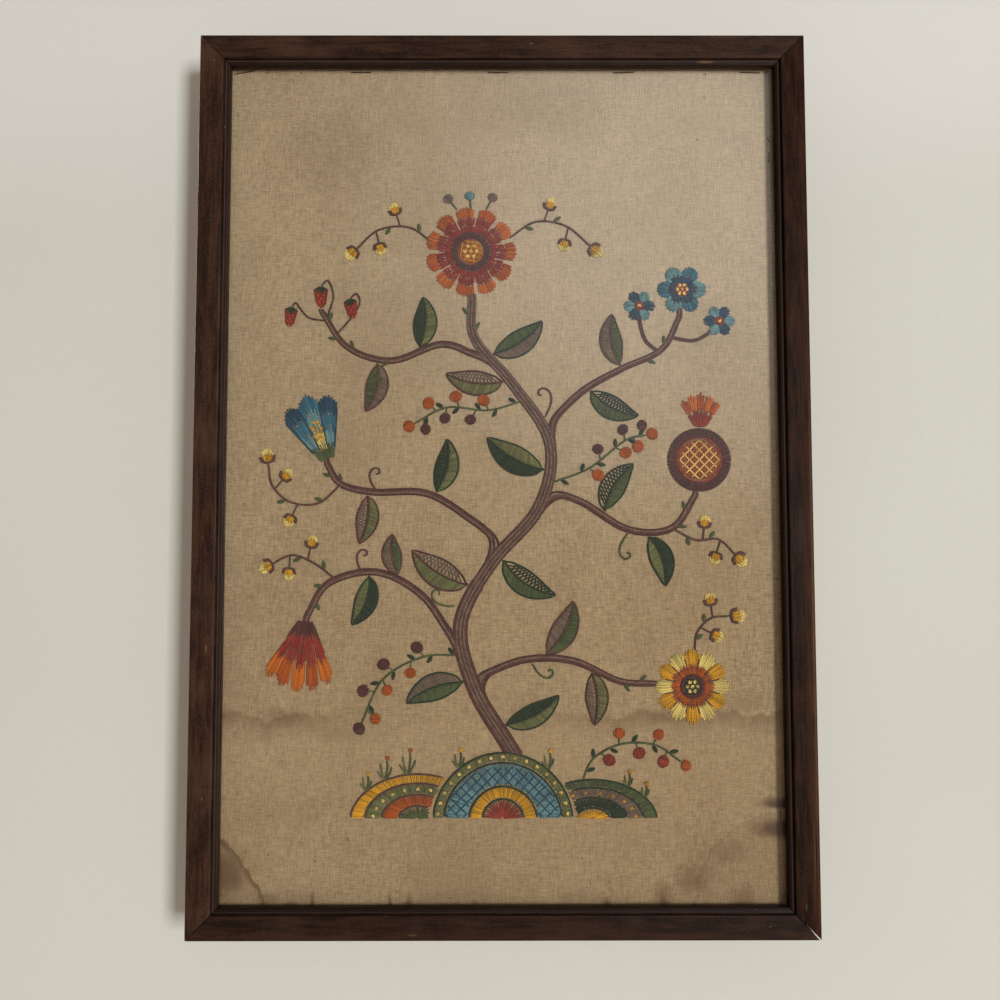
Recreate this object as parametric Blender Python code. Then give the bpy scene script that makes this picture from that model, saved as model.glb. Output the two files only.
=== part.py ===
"""Framed crewel embroidery panel, to hang on a wall.

A mitred hardwood frame holds a glass pane, a linen ground worked in crewel wool, and the board that
the linen is stapled to. The panel stands in the XZ plane and faces -Y. Its back lies in y = 0. The
origin is the middle of the top rail's flat back, where the panel is held to a wall.

The embroidery is a tree on three hillocks. Each main form is a low solid that stands just off the
linen. Places on the panel are given as (right, up) from the middle of the opening, in metres.
"""

import math

import bmesh
import bpy
import numpy as np
from mathutils import Matrix, Vector

# Frame moulding
SIGHT_WIDTH = 0.394
SIGHT_HEIGHT = 0.597
FACE_WIDTH = 0.0218
FRAME_DEPTH = 0.020
REBATE_WIDTH = 0.00725
REBATE_DEPTH = 0.0125
LIP_WIDTH = 0.0034
LIP_DROP = 0.0018
GROOVE_WIDTH = 0.0010
GROOVE_WALL = 0.0001
GROOVE_DROP = 0.0008
ARRIS = 0.0011
MITRE_GAP = 0.0003
OPEN_MITRE = 0.0012
MOULDING_SOFT_ANGLE = 28.0

# Glass, linen and board, 16 by 24 inches
PANE_WIDTH = 0.4064
PANE_HEIGHT = 0.6096
GLASS_THICKNESS = 0.0020
GLASS_ARRIS = 0.0002
LINEN_THICKNESS = 0.0012
BOARD_THICKNESS = 0.0030
BOARD_ARRIS = 0.0004
CLEARANCE = 0.0003
WOOL_ROOM = 0.0018
LINEN_COLUMNS = 14
LINEN_ROWS = 20
EDGE_BULGE = 0.0004
EDGE_REACH = 0.016

# Staples at the linen's edge
STAPLE_LENGTH = 0.0152
STAPLE_WIDTH = 0.0007
STAPLE_HEIGHT = 0.0005
STAPLE_ARRIS = 0.00015
TOP_STAPLE_DROP = 0.0008
# Columns: place from the middle, turn in degrees
TOP_STAPLES = ((-0.189, -10.0), (-0.104, 0.0), (-0.003, 1.0), (0.089, -1.5), (0.182, 2.0))
SIDE_STAPLE_INSET = 0.0022
# Columns: height, length, turn in degrees
SIDE_STAPLES = ((0.2467, 0.0040, 62.0), (0.2339, 0.0070, 90.0), (-0.2382, 0.0072, 92.0))
SIDE_STAPLE_PITCH = 0.0944

# Worked forms, all low and highest along their middle
RIM_HEIGHT = 0.0004
PAD_HEIGHT = 0.0012
SHOULDER_HEIGHT = 0.0011
SHOULDER_PLACE = 0.6
STEM_GAP = 0.0006
BRANCH_FOOT_SHARE = 1 / 3
LEAF_TIP_WIDTH = 0.0006
LEAF_BELLY = 0.9
LEAF_FULLNESS = 0.85
PETAL_ROUNDNESS = 0.6
SOFT_ANGLE = 40.0

MOUNT_UP = (REBATE_WIDTH + FACE_WIDTH) / 2
CENTRE_Z = -(SIGHT_HEIGHT / 2 + MOUNT_UP)
GLASS_FRONT = CLEARANCE - REBATE_DEPTH
GLASS_BACK = GLASS_FRONT + GLASS_THICKNESS
LINEN_FRONT = GLASS_BACK + WOOL_ROOM + CLEARANCE
LINEN_BACK = LINEN_FRONT + LINEN_THICKNESS
BOARD_FRONT = LINEN_BACK + CLEARANCE
WOOL_BACK = LINEN_FRONT - CLEARANCE

COLOURS = {
    "walnut_stain": ((0.045, 0.021, 0.014), 0.42, 0.0),
    "clear_glass": ((0.90, 0.94, 0.92), 0.05, 0.0),
    "natural_linen": ((0.42, 0.30, 0.17), 0.90, 0.0),
    "fibre_board": ((0.27, 0.17, 0.09), 0.85, 0.0),
    "staple_wire": ((0.05, 0.035, 0.025), 0.60, 0.8),
    "wool_brown": ((0.13, 0.062, 0.062), 0.90, 0.0),
    "wool_sage": ((0.15, 0.17, 0.07), 0.90, 0.0),
    "wool_green": ((0.02, 0.05, 0.028), 0.90, 0.0),
    "wool_orange": ((0.50, 0.12, 0.015), 0.90, 0.0),
    "wool_rust": ((0.26, 0.045, 0.035), 0.90, 0.0),
    "wool_gold": ((0.58, 0.33, 0.03), 0.90, 0.0),
    "wool_blue": ((0.02, 0.10, 0.16), 0.90, 0.0),
}

# Columns: stem name, where it leaves the trunk (place from 0 to 1, side), its route as
# (right, up) points, width at its foot, width at its tip
STEMS = {
    "trunk": (
        None,
        ((0.004, -0.1900), (-0.020, -0.150), (-0.030, -0.105), (-0.008, -0.062), (0.026, -0.022),
         (0.034, 0.024), (0.008, 0.066), (-0.020, 0.100), (-0.022, 0.128)),
        0.0110, 0.0056,
    ),
    "branch_bell": (
        (0.235, 1),
        ((-0.058, -0.084), (-0.090, -0.068), (-0.124, -0.076), (-0.139, -0.099)),
        0.0056, 0.0038,
    ),
    "branch_tulip": (
        (0.41, 1),
        ((-0.022, -0.031), (-0.054, -0.012), (-0.092, -0.011), (-0.116, -0.005), (-0.126, 0.010)),
        0.0056, 0.0038,
    ),
    "branch_daisy": (
        (0.145, -1),
        ((0.016, -0.130), (0.050, -0.131), (0.082, -0.145), (0.1065, -0.147)),
        0.0054, 0.0036,
    ),
    "branch_pomegranate": (
        (0.535, -1),
        ((0.058, -0.019), (0.090, -0.038), (0.121, -0.037), (0.138, -0.0135)),
        0.0054, 0.0038,
    ),
    "branch_aster": (
        (0.655, -1),
        ((0.058, 0.062), (0.086, 0.078), (0.115, 0.092), (0.128, 0.1155)),
        0.0050, 0.0032,
    ),
    "branch_strawberry": (
        (0.845, 1),
        ((-0.044, 0.096), (-0.080, 0.084), (-0.112, 0.094), (-0.131, 0.1205)),
        0.0050, 0.0032,
    ),
}

# Columns: stem, place along it from 0 to 1, side (1 left, -1 right), heading in degrees, length,
# width, bend, wool
LEAVES = (
    ("trunk", 0.325, 1, 148, 0.047, 0.021, 0.004, "wool_sage"),
    ("trunk", 0.14, 1, 200, 0.043, 0.019, -0.004, "wool_green"),
    ("trunk", 0.04, -1, 28, 0.043, 0.016, -0.004, "wool_sage"),
    ("trunk", 0.40, -1, -34, 0.045, 0.018, -0.005, "wool_sage"),
    ("trunk", 0.57, 1, 150, 0.047, 0.020, 0.004, "wool_green"),
    ("trunk", 0.76, 1, 172, 0.042, 0.018, 0.004, "wool_sage"),
    ("trunk", 0.83, -1, 34, 0.043, 0.018, -0.004, "wool_green"),
    ("branch_bell", 0.52, 1, 250, 0.037, 0.016, 0.004, "wool_sage"),
    ("branch_bell", 0.40, -1, 98, 0.029, 0.014, 0.003, "wool_green"),
    ("branch_tulip", 0.36, -1, 78, 0.039, 0.017, -0.004, "wool_green"),
    ("branch_tulip", 0.62, 1, -100, 0.035, 0.016, 0.003, "wool_sage"),
    ("branch_daisy", 0.36, 1, 62, 0.042, 0.018, -0.004, "wool_sage"),
    ("branch_daisy", 0.60, -1, -88, 0.037, 0.016, 0.003, "wool_green"),
    ("branch_pomegranate", 0.34, 1, 58, 0.040, 0.018, 0.004, "wool_sage"),
    ("branch_pomegranate", 0.60, -1, -72, 0.037, 0.017, 0.004, "wool_green"),
    ("branch_aster", 0.30, -1, -28, 0.039, 0.017, -0.004, "wool_green"),
    ("branch_aster", 0.50, 1, 98, 0.038, 0.016, 0.004, "wool_sage"),
    ("branch_strawberry", 0.34, -1, 86, 0.037, 0.017, -0.003, "wool_sage"),
    ("branch_strawberry", 0.56, 1, -104, 0.036, 0.016, 0.004, "wool_green"),
)

# Hillocks: middle (right, up), half width and height
HILL_BASE = -0.241
HILL_MIDDLE = (0.0, 0.050, 0.046)
HILL_LEFT = (-0.060, 0.048, 0.031)
HILL_RIGHT = (0.063, 0.046, 0.027)
HILL_STATIONS = 15
HILL_ROUNDNESS = 0.55
HILL_END = 0.998

# Round flower heads: middle, radius at the petals' tips and between them, petal count, wool
ROUND_FLOWERS = {
    "rosette": ((-0.023, 0.164), 0.0335, 0.0285, 11, "wool_orange"),
    "daisy": ((0.134, -0.149), 0.0265, 0.0215, 12, "wool_gold"),
    "pomegranate": ((0.141, 0.012), 0.0235, 0.0235, 0, "wool_rust"),
    "aster_large": ((0.130, 0.136), 0.0185, 0.0110, 6, "wool_blue"),
    "aster_left": ((0.099, 0.124), 0.0120, 0.0075, 6, "wool_blue"),
    "aster_right": ((0.157, 0.113), 0.0120, 0.0075, 6, "wool_blue"),
}
POINTS_A_PETAL = 4
ROUND_POINTS = 28

# Fan-shaped heads: foot, heading in degrees, half spread in degrees, length, petals, foot width, wool
FANS = {
    "bell_flower": ((-0.1400, -0.1035), -97.0, 36.0, 0.050, 5, 0.010, "wool_orange"),
    "tulip": ((-0.1255, 0.0125), 110.0, 30.0, 0.050, 3, 0.010, "wool_blue"),
    "pomegranate_crown": ((0.142, 0.0375), 88.0, 48.0, 0.023, 5, 0.010, "wool_orange"),
    "strawberry_1": ((-0.1315, 0.1375), -88.0, 15.0, 0.0155, 1, 0.011, "wool_rust"),
    "strawberry_2": ((-0.1105, 0.1285), -80.0, 15.0, 0.0145, 1, 0.010, "wool_rust"),
    "strawberry_3": ((-0.1525, 0.1225), -98.0, 15.0, 0.0145, 1, 0.010, "wool_rust"),
}
FAN_SCALLOP = 0.12
FAN_FALL = 0.10
FAN_MIDDLE = 0.55


def clear_scene():
    """Removes every object that the new file starts with."""
    for thing in list(bpy.data.objects):
        bpy.data.objects.remove(thing, do_unlink=True)


def finish_material(name):
    """One Principled material for each stuff, made once."""
    found = bpy.data.materials.get(name)
    if found:
        return found
    colour, roughness, metallic = COLOURS[name]
    made = bpy.data.materials.new(name)
    made.use_nodes = True
    shader = made.node_tree.nodes["Principled BSDF"]
    shader.inputs["Base Color"].default_value = (*colour, 1.0)
    shader.inputs["Roughness"].default_value = roughness
    shader.inputs["Metallic"].default_value = metallic
    return made


def add_solid(name, bm, material, smooth_angle=None):
    """Turns a closed bmesh into a named object with its faces pointing out."""
    bmesh.ops.recalc_face_normals(bm, faces=bm.faces)
    mesh = bpy.data.meshes.new(name)
    bm.to_mesh(mesh)
    bm.free()
    mesh.materials.append(finish_material(material))
    if smooth_angle is not None:
        mesh.shade_smooth()
        mesh.set_sharp_from_angle(angle=math.radians(smooth_angle))
    solid = bpy.data.objects.new(name, mesh)
    bpy.context.scene.collection.objects.link(solid)
    return solid


def on_panel(right, up, y):
    return Vector((right, y, CENTRE_Z + up))


def moulding_outline():
    """The moulding's section as (distance out from the sight edge, depth behind the front)."""
    groove_in = LIP_WIDTH
    groove_out = LIP_WIDTH + GROOVE_WIDTH
    return (
        (0.0, FRAME_DEPTH - REBATE_DEPTH),
        (0.0, LIP_DROP + 0.8 * ARRIS),
        (0.3 * ARRIS, LIP_DROP + 0.25 * ARRIS),
        (0.9 * ARRIS, LIP_DROP),
        (groove_in, LIP_DROP - 0.2 * ARRIS),
        (groove_in + GROOVE_WALL, LIP_DROP + GROOVE_DROP),
        (groove_out - GROOVE_WALL, LIP_DROP + GROOVE_DROP),
        (groove_out, 0.9 * ARRIS),
        (groove_out + 0.3 * ARRIS, 0.25 * ARRIS),
        (groove_out + 0.9 * ARRIS, 0.0),
        (FACE_WIDTH - 1.2 * ARRIS, 0.05 * ARRIS),
        (FACE_WIDTH - 0.4 * ARRIS, 0.4 * ARRIS),
        (FACE_WIDTH - 0.1 * ARRIS, 1.1 * ARRIS),
        (FACE_WIDTH, 2.0 * ARRIS),
        (FACE_WIDTH, FRAME_DEPTH - 0.4 * ARRIS),
        (FACE_WIDTH - 0.4 * ARRIS, FRAME_DEPTH),
        (REBATE_WIDTH, FRAME_DEPTH),
        (REBATE_WIDTH, FRAME_DEPTH - REBATE_DEPTH),
    )


def frame_member(name, sight_half_length, sight_half_across, turns, open_end=0.0):
    """A length of moulding with mitred ends, made as the top rail and turned into place.

    The mitre at its -X end stands open by open_end at the outer corner.
    """
    end_shift = MITRE_GAP / 2 * math.sqrt(2)
    bm = bmesh.new()
    end = []
    for out, behind in moulding_outline():
        reach = sight_half_length + out - end_shift
        end.append(bm.verts.new((reach, behind - FRAME_DEPTH, sight_half_across + out)))
    cap = bm.faces.new(end)
    drawn = bmesh.ops.extrude_face_region(bm, geom=[cap], use_keep_orig=True)
    for vert in (v for v in drawn["geom"] if isinstance(v, bmesh.types.BMVert)):
        from_sight = (vert.co.z - sight_half_across) / FACE_WIDTH
        vert.co.x = open_end * from_sight - vert.co.x
    turned = Matrix.Rotation(math.radians(90 * turns), 4, "Y")
    bmesh.ops.transform(bm, matrix=turned, verts=bm.verts)
    bmesh.ops.translate(bm, vec=(0, 0, CENTRE_Z), verts=bm.verts)
    return add_solid(name, bm, "walnut_stain", smooth_angle=MOULDING_SOFT_ANGLE)


def make_frame():
    half_width = SIGHT_WIDTH / 2
    half_height = SIGHT_HEIGHT / 2
    frame_member("frame_rail_top", half_width, half_height, 0)
    frame_member("frame_stile_right", half_height, half_width, 1)
    frame_member("frame_rail_bottom", half_width, half_height, 2, OPEN_MITRE)
    frame_member("frame_stile_left", half_height, half_width, 3)


def make_plate(name, front, thickness, arris, material):
    """A flat plate of the pane's size, its long edges slightly eased."""
    bm = bmesh.new()
    bmesh.ops.create_cube(bm, size=1.0)
    bmesh.ops.scale(bm, vec=(PANE_WIDTH, thickness, PANE_HEIGHT), verts=bm.verts)
    bmesh.ops.translate(bm, vec=(0, front + thickness / 2, CENTRE_Z), verts=bm.verts)
    bmesh.ops.bevel(
        bm, geom=bm.edges[:], offset=arris, segments=1, profile=0.5, affect="EDGES"
    )
    return add_solid(name, bm, material)


def edge_bulge(right, up):
    """How far the linen stands up near its edge, between the staples that hold it down."""
    from_side = PANE_WIDTH / 2 - abs(right)
    from_end = PANE_HEIGHT / 2 - abs(up)
    to_staple = min(abs(right - place) for place, _ in TOP_STAPLES)
    along_end = min(1.0, 2 * to_staple / SIDE_STAPLE_PITCH) ** 2
    along_side = 0.5 - 0.5 * math.cos(2 * math.pi * (up - SIDE_STAPLES[1][0]) / SIDE_STAPLE_PITCH)
    near_end = max(0.0, 1 - from_end / EDGE_REACH)
    near_side = max(0.0, 1 - from_side / EDGE_REACH)
    return EDGE_BULGE * max(near_end * along_end, near_side * along_side)


def make_linen():
    """One stretched sheet of cloth, a little proud between the staples."""
    bm = bmesh.new()
    bmesh.ops.create_grid(bm, x_segments=LINEN_COLUMNS, y_segments=LINEN_ROWS, size=0.5)
    for vert in bm.verts:
        # Rows and columns crowd towards the edge, where the cloth is uneven
        right = math.sin(vert.co.x * math.pi) / 2 * PANE_WIDTH
        up = math.sin(vert.co.y * math.pi) / 2 * PANE_HEIGHT
        vert.co = on_panel(right, up, LINEN_FRONT - edge_bulge(right, up))
    face_out = [f for f in bm.faces if f.normal.y > 0]
    bmesh.ops.reverse_faces(bm, faces=face_out)
    mesh = bpy.data.meshes.new("linen_ground")
    bm.to_mesh(mesh)
    bm.free()
    mesh.materials.append(finish_material("natural_linen"))
    mesh.shade_smooth()
    linen = bpy.data.objects.new("linen_ground", mesh)
    bpy.context.scene.collection.objects.link(linen)
    thick = linen.modifiers.new("cloth_thickness", "SOLIDIFY")
    thick.thickness = LINEN_THICKNESS
    thick.offset = -1.0
    return linen


def make_staple(name, right, up, length, angle):
    """The crown of one wire staple, lying on the linen."""
    bm = bmesh.new()
    bmesh.ops.create_cube(bm, size=1.0)
    bmesh.ops.scale(bm, vec=(length, STAPLE_HEIGHT, STAPLE_WIDTH), verts=bm.verts)
    bmesh.ops.bevel(
        bm, geom=bm.edges[:], offset=STAPLE_ARRIS, segments=1, profile=0.5, affect="EDGES"
    )
    bmesh.ops.rotate(bm, matrix=Matrix.Rotation(math.radians(angle), 3, "Y"), verts=bm.verts)
    middle = on_panel(right, up, WOOL_BACK - STAPLE_HEIGHT / 2)
    bmesh.ops.translate(bm, vec=middle, verts=bm.verts)
    return add_solid(name, bm, "staple_wire")


def make_staples():
    top_line = SIGHT_HEIGHT / 2 - TOP_STAPLE_DROP
    for number, (right, turn) in enumerate(TOP_STAPLES, 1):
        make_staple(f"staple_top_{number}", right, top_line, STAPLE_LENGTH, turn)
    side_line = SIGHT_WIDTH / 2 - SIDE_STAPLE_INSET
    for number, (up, length, turn) in enumerate(SIDE_STAPLES, 1):
        make_staple(f"staple_side_{number}", side_line, up, length, turn)


def smooth_route(points, steps=7):
    """A smooth curve through the given points."""
    given = [np.array(p) for p in points]
    given = [2 * given[0] - given[1]] + given + [2 * given[-1] - given[-2]]
    route = []
    for before, here, after, beyond in zip(given, given[1:], given[2:], given[3:]):
        for step in range(steps):
            t = step / steps
            route.append(
                here
                + 0.5 * t * (after - before)
                + t * t * (before - 2.5 * here + 2 * after - 0.5 * beyond)
                + t * t * t * (1.5 * (here - after) + 0.5 * (beyond - before))
            )
    route.append(given[-2])
    return np.array(route)


def side_ways(route):
    """Unit vectors to the left of each point of a route."""
    along = np.gradient(route, axis=0)
    along /= np.linalg.norm(along, axis=1)[:, None]
    return np.stack([-along[:, 1], along[:, 0]], axis=1)


def worked_strip(name, one_edge, other_edge, wool):
    """A low solid between two edges, highest along its middle."""
    bm = bmesh.new()
    rings = []
    for a, b in zip(one_edge, other_edge):
        middle = ((a[0] + b[0]) / 2, (a[1] + b[1]) / 2)
        rings.append([
            bm.verts.new(on_panel(*a, WOOL_BACK)),
            bm.verts.new(on_panel(*a, WOOL_BACK - RIM_HEIGHT)),
            bm.verts.new(on_panel(*middle, WOOL_BACK - PAD_HEIGHT)),
            bm.verts.new(on_panel(*b, WOOL_BACK - RIM_HEIGHT)),
            bm.verts.new(on_panel(*b, WOOL_BACK)),
        ])
    for ring, following in zip(rings, rings[1:]):
        for k in range(len(ring)):
            after = (k + 1) % len(ring)
            bm.faces.new((ring[k], ring[after], following[after], following[k]))
    bm.faces.new(rings[0])
    bm.faces.new(rings[-1])
    return add_solid(name, bm, wool, smooth_angle=SOFT_ANGLE)


def worked_round(name, outline, middle, wool):
    """A low domed solid inside a closed outline that can be seen whole from its middle."""
    bm = bmesh.new()
    foot = [bm.verts.new(on_panel(*p, WOOL_BACK)) for p in outline]
    rim = [bm.verts.new(on_panel(*p, WOOL_BACK - RIM_HEIGHT)) for p in outline]
    crown = []
    for p in outline:
        inner = [middle[k] + SHOULDER_PLACE * (p[k] - middle[k]) for k in range(2)]
        crown.append(bm.verts.new(on_panel(*inner, WOOL_BACK - SHOULDER_HEIGHT)))
    top = bm.verts.new(on_panel(*middle, WOOL_BACK - PAD_HEIGHT))
    bm.faces.new(foot)
    count = len(outline)
    for k in range(count):
        after = (k + 1) % count
        bm.faces.new((foot[k], foot[after], rim[after], rim[k]))
        bm.faces.new((rim[k], rim[after], crown[after], crown[k]))
        bm.faces.new((crown[k], crown[after], top))
    return add_solid(name, bm, wool, smooth_angle=SOFT_ANGLE)


def edge_place(stem, place, side, clear):
    """A point just outside the edge of a stem, a share of the way along it."""
    route, half = stem_lines(stem)
    at = round(place * (len(route) - 1))
    return route[at] + side * side_ways(route)[at] * (half[at] + clear)


def stem_lines(name):
    """The route of a stem and its half width at each point."""
    leaves_at, points, foot_width, tip_width = STEMS[name]
    if leaves_at:
        place, side = leaves_at
        clear = foot_width * BRANCH_FOOT_SHARE + STEM_GAP
        points = (edge_place("trunk", place, side, clear), *points)
    route = smooth_route(points)
    half = np.linspace(foot_width, tip_width, len(route)) / 2
    return route, half


def make_stems():
    for name in STEMS:
        route, half = stem_lines(name)
        left = route + side_ways(route) * half[:, None]
        right = route - side_ways(route) * half[:, None]
        worked_strip(name, left, right, "wool_brown")


def leaf_edges(stem, place, side, heading, length, width, bend, stations=9):
    """Both edges of a leaf that starts at the edge of its stem."""
    foot = edge_place(stem, place, side, STEM_GAP)
    axis = np.array([math.cos(math.radians(heading)), math.sin(math.radians(heading))])
    across = np.array([-axis[1], axis[0]])
    t = np.linspace(0.0, 1.0, stations)
    rib = foot + np.outer(t * length, axis) + np.outer(bend * 4 * t * (1 - t), across)
    swell = np.maximum(np.sin(math.pi * t ** LEAF_BELLY), 0.0) ** LEAF_FULLNESS
    reach = side_ways(rib) * (width * swell + LEAF_TIP_WIDTH)[:, None] / 2
    return rib + reach, rib - reach


def make_leaves():
    for number, (stem, place, side, heading, length, width, bend, wool) in enumerate(LEAVES, 1):
        left, right = leaf_edges(stem, place, side, heading, length, width, bend)
        worked_strip(f"leaf_{number}", left, right, wool)


def hill_top(hill, right):
    """Height of a hillock's edge above its base, or zero outside it."""
    middle, half_width, height = hill
    inside = 1 - ((right - middle) / half_width) ** 2
    return height * max(inside, 0.0) ** HILL_ROUNDNESS


def make_hillocks():
    """The middle hillock stands in front, and the outer two end at its edge."""
    middle, half_width, height = HILL_MIDDLE
    turn = np.linspace(math.pi, 0.0, HILL_STATIONS)
    places = [middle + half_width * math.cos(a) * HILL_END for a in turn]
    low = [(x, HILL_BASE) for x in places]
    high = [(x, HILL_BASE + hill_top(HILL_MIDDLE, x) + RIM_HEIGHT) for x in places]
    worked_strip("hillock_middle", low, high, "wool_sage")
    in_front = (middle, half_width + 2 * STEM_GAP, height + 2 * STEM_GAP)
    for name, hill in (("hillock_left", HILL_LEFT), ("hillock_right", HILL_RIGHT)):
        away = -1 if hill[0] < 0 else 1
        outer = hill[0] + away * hill[1] * HILL_END
        low, high = [], []
        for step in range(2 * HILL_STATIONS):
            x = outer * (1 - step / (2 * HILL_STATIONS))
            floor = HILL_BASE + hill_top(in_front, x)
            roof = HILL_BASE + hill_top(hill, x) + RIM_HEIGHT
            if roof < floor + RIM_HEIGHT:
                break
            low.append((x, floor))
            high.append((x, roof))
        worked_strip(name, low, high, "wool_gold" if away < 0 else "wool_green")


def make_round_flowers():
    for name, (middle, tip_radius, notch_radius, petals, wool) in ROUND_FLOWERS.items():
        count = petals * POINTS_A_PETAL if petals else ROUND_POINTS
        outline = []
        for k in range(count):
            turn = 2 * math.pi * k / count
            wave = abs(math.cos(turn * petals / 2)) ** PETAL_ROUNDNESS if petals else 1.0
            radius = notch_radius + (tip_radius - notch_radius) * wave
            outline.append((middle[0] + radius * math.cos(turn), middle[1] + radius * math.sin(turn)))
        worked_round(name, outline, middle, wool)


def make_fans():
    for name, (foot, heading, spread, length, petals, foot_width, wool) in FANS.items():
        foot = np.array(foot)
        ahead = math.radians(heading)
        axis = np.array([math.cos(ahead), math.sin(ahead)])
        across = np.array([-axis[1], axis[0]])
        outline = [foot + across * foot_width / 2, foot - across * foot_width / 2]
        steps = max(POINTS_A_PETAL * petals, 8)
        for k in range(steps + 1):
            share = k / steps
            turn = ahead + math.radians(spread) * (2 * share - 1)
            scallop = abs(math.sin(math.pi * petals * share))
            reach = length * (1 - FAN_SCALLOP * (1 - scallop) - FAN_FALL * abs(2 * share - 1))
            outline.append(foot + reach * np.array([math.cos(turn), math.sin(turn)]))
        middle = foot + axis * length * FAN_MIDDLE
        worked_round(name, outline, middle, wool)


clear_scene()
make_frame()
make_plate("glass_pane", GLASS_FRONT, GLASS_THICKNESS, GLASS_ARRIS, "clear_glass")
make_linen()
make_plate("backing_board", BOARD_FRONT, BOARD_THICKNESS, BOARD_ARRIS, "fibre_board")
make_staples()
make_hillocks()
make_stems()
make_leaves()
make_round_flowers()
make_fans()
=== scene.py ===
"""Framed crewel embroidery panel: finishes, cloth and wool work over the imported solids.

The panel stands in the XZ plane and faces -Y. Places on it are given as (right, up) in metres from
the middle of the frame's opening.
"""
import math

import bpy
import numpy as np
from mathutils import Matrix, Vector


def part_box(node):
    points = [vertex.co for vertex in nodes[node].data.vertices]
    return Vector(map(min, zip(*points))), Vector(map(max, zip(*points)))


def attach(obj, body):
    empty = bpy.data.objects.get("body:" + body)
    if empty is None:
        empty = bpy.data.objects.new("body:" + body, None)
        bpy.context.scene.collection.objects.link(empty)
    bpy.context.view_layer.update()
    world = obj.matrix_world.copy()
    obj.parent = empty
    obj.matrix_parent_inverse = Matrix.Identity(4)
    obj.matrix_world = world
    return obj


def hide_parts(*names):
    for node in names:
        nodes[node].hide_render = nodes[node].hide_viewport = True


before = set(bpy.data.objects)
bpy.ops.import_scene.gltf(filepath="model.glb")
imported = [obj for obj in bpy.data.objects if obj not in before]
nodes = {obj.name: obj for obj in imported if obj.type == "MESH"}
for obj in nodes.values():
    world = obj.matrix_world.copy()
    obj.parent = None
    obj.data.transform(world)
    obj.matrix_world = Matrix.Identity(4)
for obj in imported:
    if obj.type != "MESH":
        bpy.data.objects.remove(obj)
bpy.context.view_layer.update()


# Frame: four lengths of hardwood moulding, stained dark brown and varnished to a low sheen, with
# mitred corners. The outer arris is rubbed through to red-brown wood on the right and along the
# bottom, and the faces carry a few small nicks.
SIGHT = (0.394, 0.597)
FACE = 0.0218
DEPTH = 0.02
glass_low, glass_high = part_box("glass_pane")
CENTRE_Z = (glass_low.z + glass_high.z) / 2


def link(value, socket):
    """Feeds a socket from another socket or a signal, or sets it to a plain value."""
    value = getattr(value, "socket", value)
    if isinstance(value, bpy.types.NodeSocket):
        socket.id_data.links.new(value, socket)
    elif value is not None:
        socket.default_value = value


class Signal:
    """A socket that a shader's masks and tones are reckoned from. + - * / add Math nodes to its tree."""

    def __init__(self, socket):
        self.socket = socket

    def __add__(self, other):
        return maths("ADD", self, other)

    def __radd__(self, other):
        return maths("ADD", other, self)

    def __sub__(self, other):
        return maths("SUBTRACT", self, other)

    def __rsub__(self, other):
        return maths("SUBTRACT", other, self)

    def __mul__(self, other):
        return maths("MULTIPLY", self, other)

    def __truediv__(self, other):
        return maths("DIVIDE", self, other)

    def __abs__(self):
        return maths("ABSOLUTE", self)


def add_node(kind, sockets, output=0, **settings):
    """Adds a node to the tree of the first signal among its sockets, given as name or number: value."""
    tree = next(v.socket.id_data for v in sockets.values() if isinstance(v, Signal))
    node = tree.nodes.new(f"ShaderNode{kind}")
    for name, value in settings.items():
        setattr(node, name, value)
    for key, value in sockets.items():
        link(value, node.inputs[key])
    return Signal(node.outputs[output])


def maths(operation, *values):
    return add_node("Math", dict(enumerate(values)), operation=operation)


def ramp(value, low, high, to_low=0.0, to_high=1.0, smooth=True):
    """Maps a value from one range to another, softly and clamped."""
    return add_node("MapRange", dict(enumerate((value, low, high, to_low, to_high))),
                    interpolation_type="SMOOTHSTEP" if smooth else "LINEAR")


def mix_colour(share, first, second):
    return add_node("Mix", {0: share, 6: first, 7: second}, 2, data_type="RGBA")


def scaled(colour, by):
    """A colour made paler or deeper."""
    return add_node("VectorMath", {0: colour, "Scale": by}, operation="SCALE")


def noise(vector, scale, detail, roughness, distortion=0.0):
    return add_node("TexNoise", {"Vector": vector, "Scale": scale, "Detail": detail, "Roughness": roughness,
                                 "Distortion": distortion}, "Fac")


def vector_of(x, y, z):
    return add_node("CombineXYZ", {0: x, 1: y, 2: z})


def split_up(vector):
    split = vector.socket.id_data.nodes.new("ShaderNodeSeparateXYZ")
    link(vector, split.inputs[0])
    return [Signal(socket) for socket in split.outputs]


def new_group(name, inputs, outputs):
    """A shader node group, with its sockets given as name: kind. Its inputs come back as signals."""
    tree = bpy.data.node_groups.new(name, "ShaderNodeTree")
    for way, sockets in (("INPUT", inputs), ("OUTPUT", outputs)):
        for label, kind in sockets.items():
            tree.interface.new_socket(label, in_out=way, socket_type=f"NodeSocket{kind}")
    given = [Signal(socket) for socket in tree.nodes.new("NodeGroupInput").outputs]
    return tree, given[:len(inputs)], tree.nodes.new("NodeGroupOutput").inputs


def feed(node, **values):
    """Feeds a node's sockets by name, with _ for a space: links signals, and sets plain values."""
    for name, value in values.items():
        link(value, node.inputs[name.replace("_", " ")])


def place_group(tree, group, **values):
    node = tree.nodes.new("ShaderNodeGroup")
    node.node_tree = group
    feed(node, **values)
    return {socket.name: Signal(socket) for socket in node.outputs}


def new_material(name, roughness=0.5):
    """A material with its Principled shader, and Object coordinates split to right, y and up."""
    made = bpy.data.materials.new(name)
    made.use_nodes = True
    tree = made.node_tree
    shader = tree.nodes["Principled BSDF"]
    feed(shader, Roughness=roughness)
    coordinates = Signal(tree.nodes.new("ShaderNodeTexCoord").outputs["Object"])
    right, y, up = split_up(coordinates)
    return made, tree, shader, coordinates, (right, y, up - CENTRE_Z)


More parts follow.
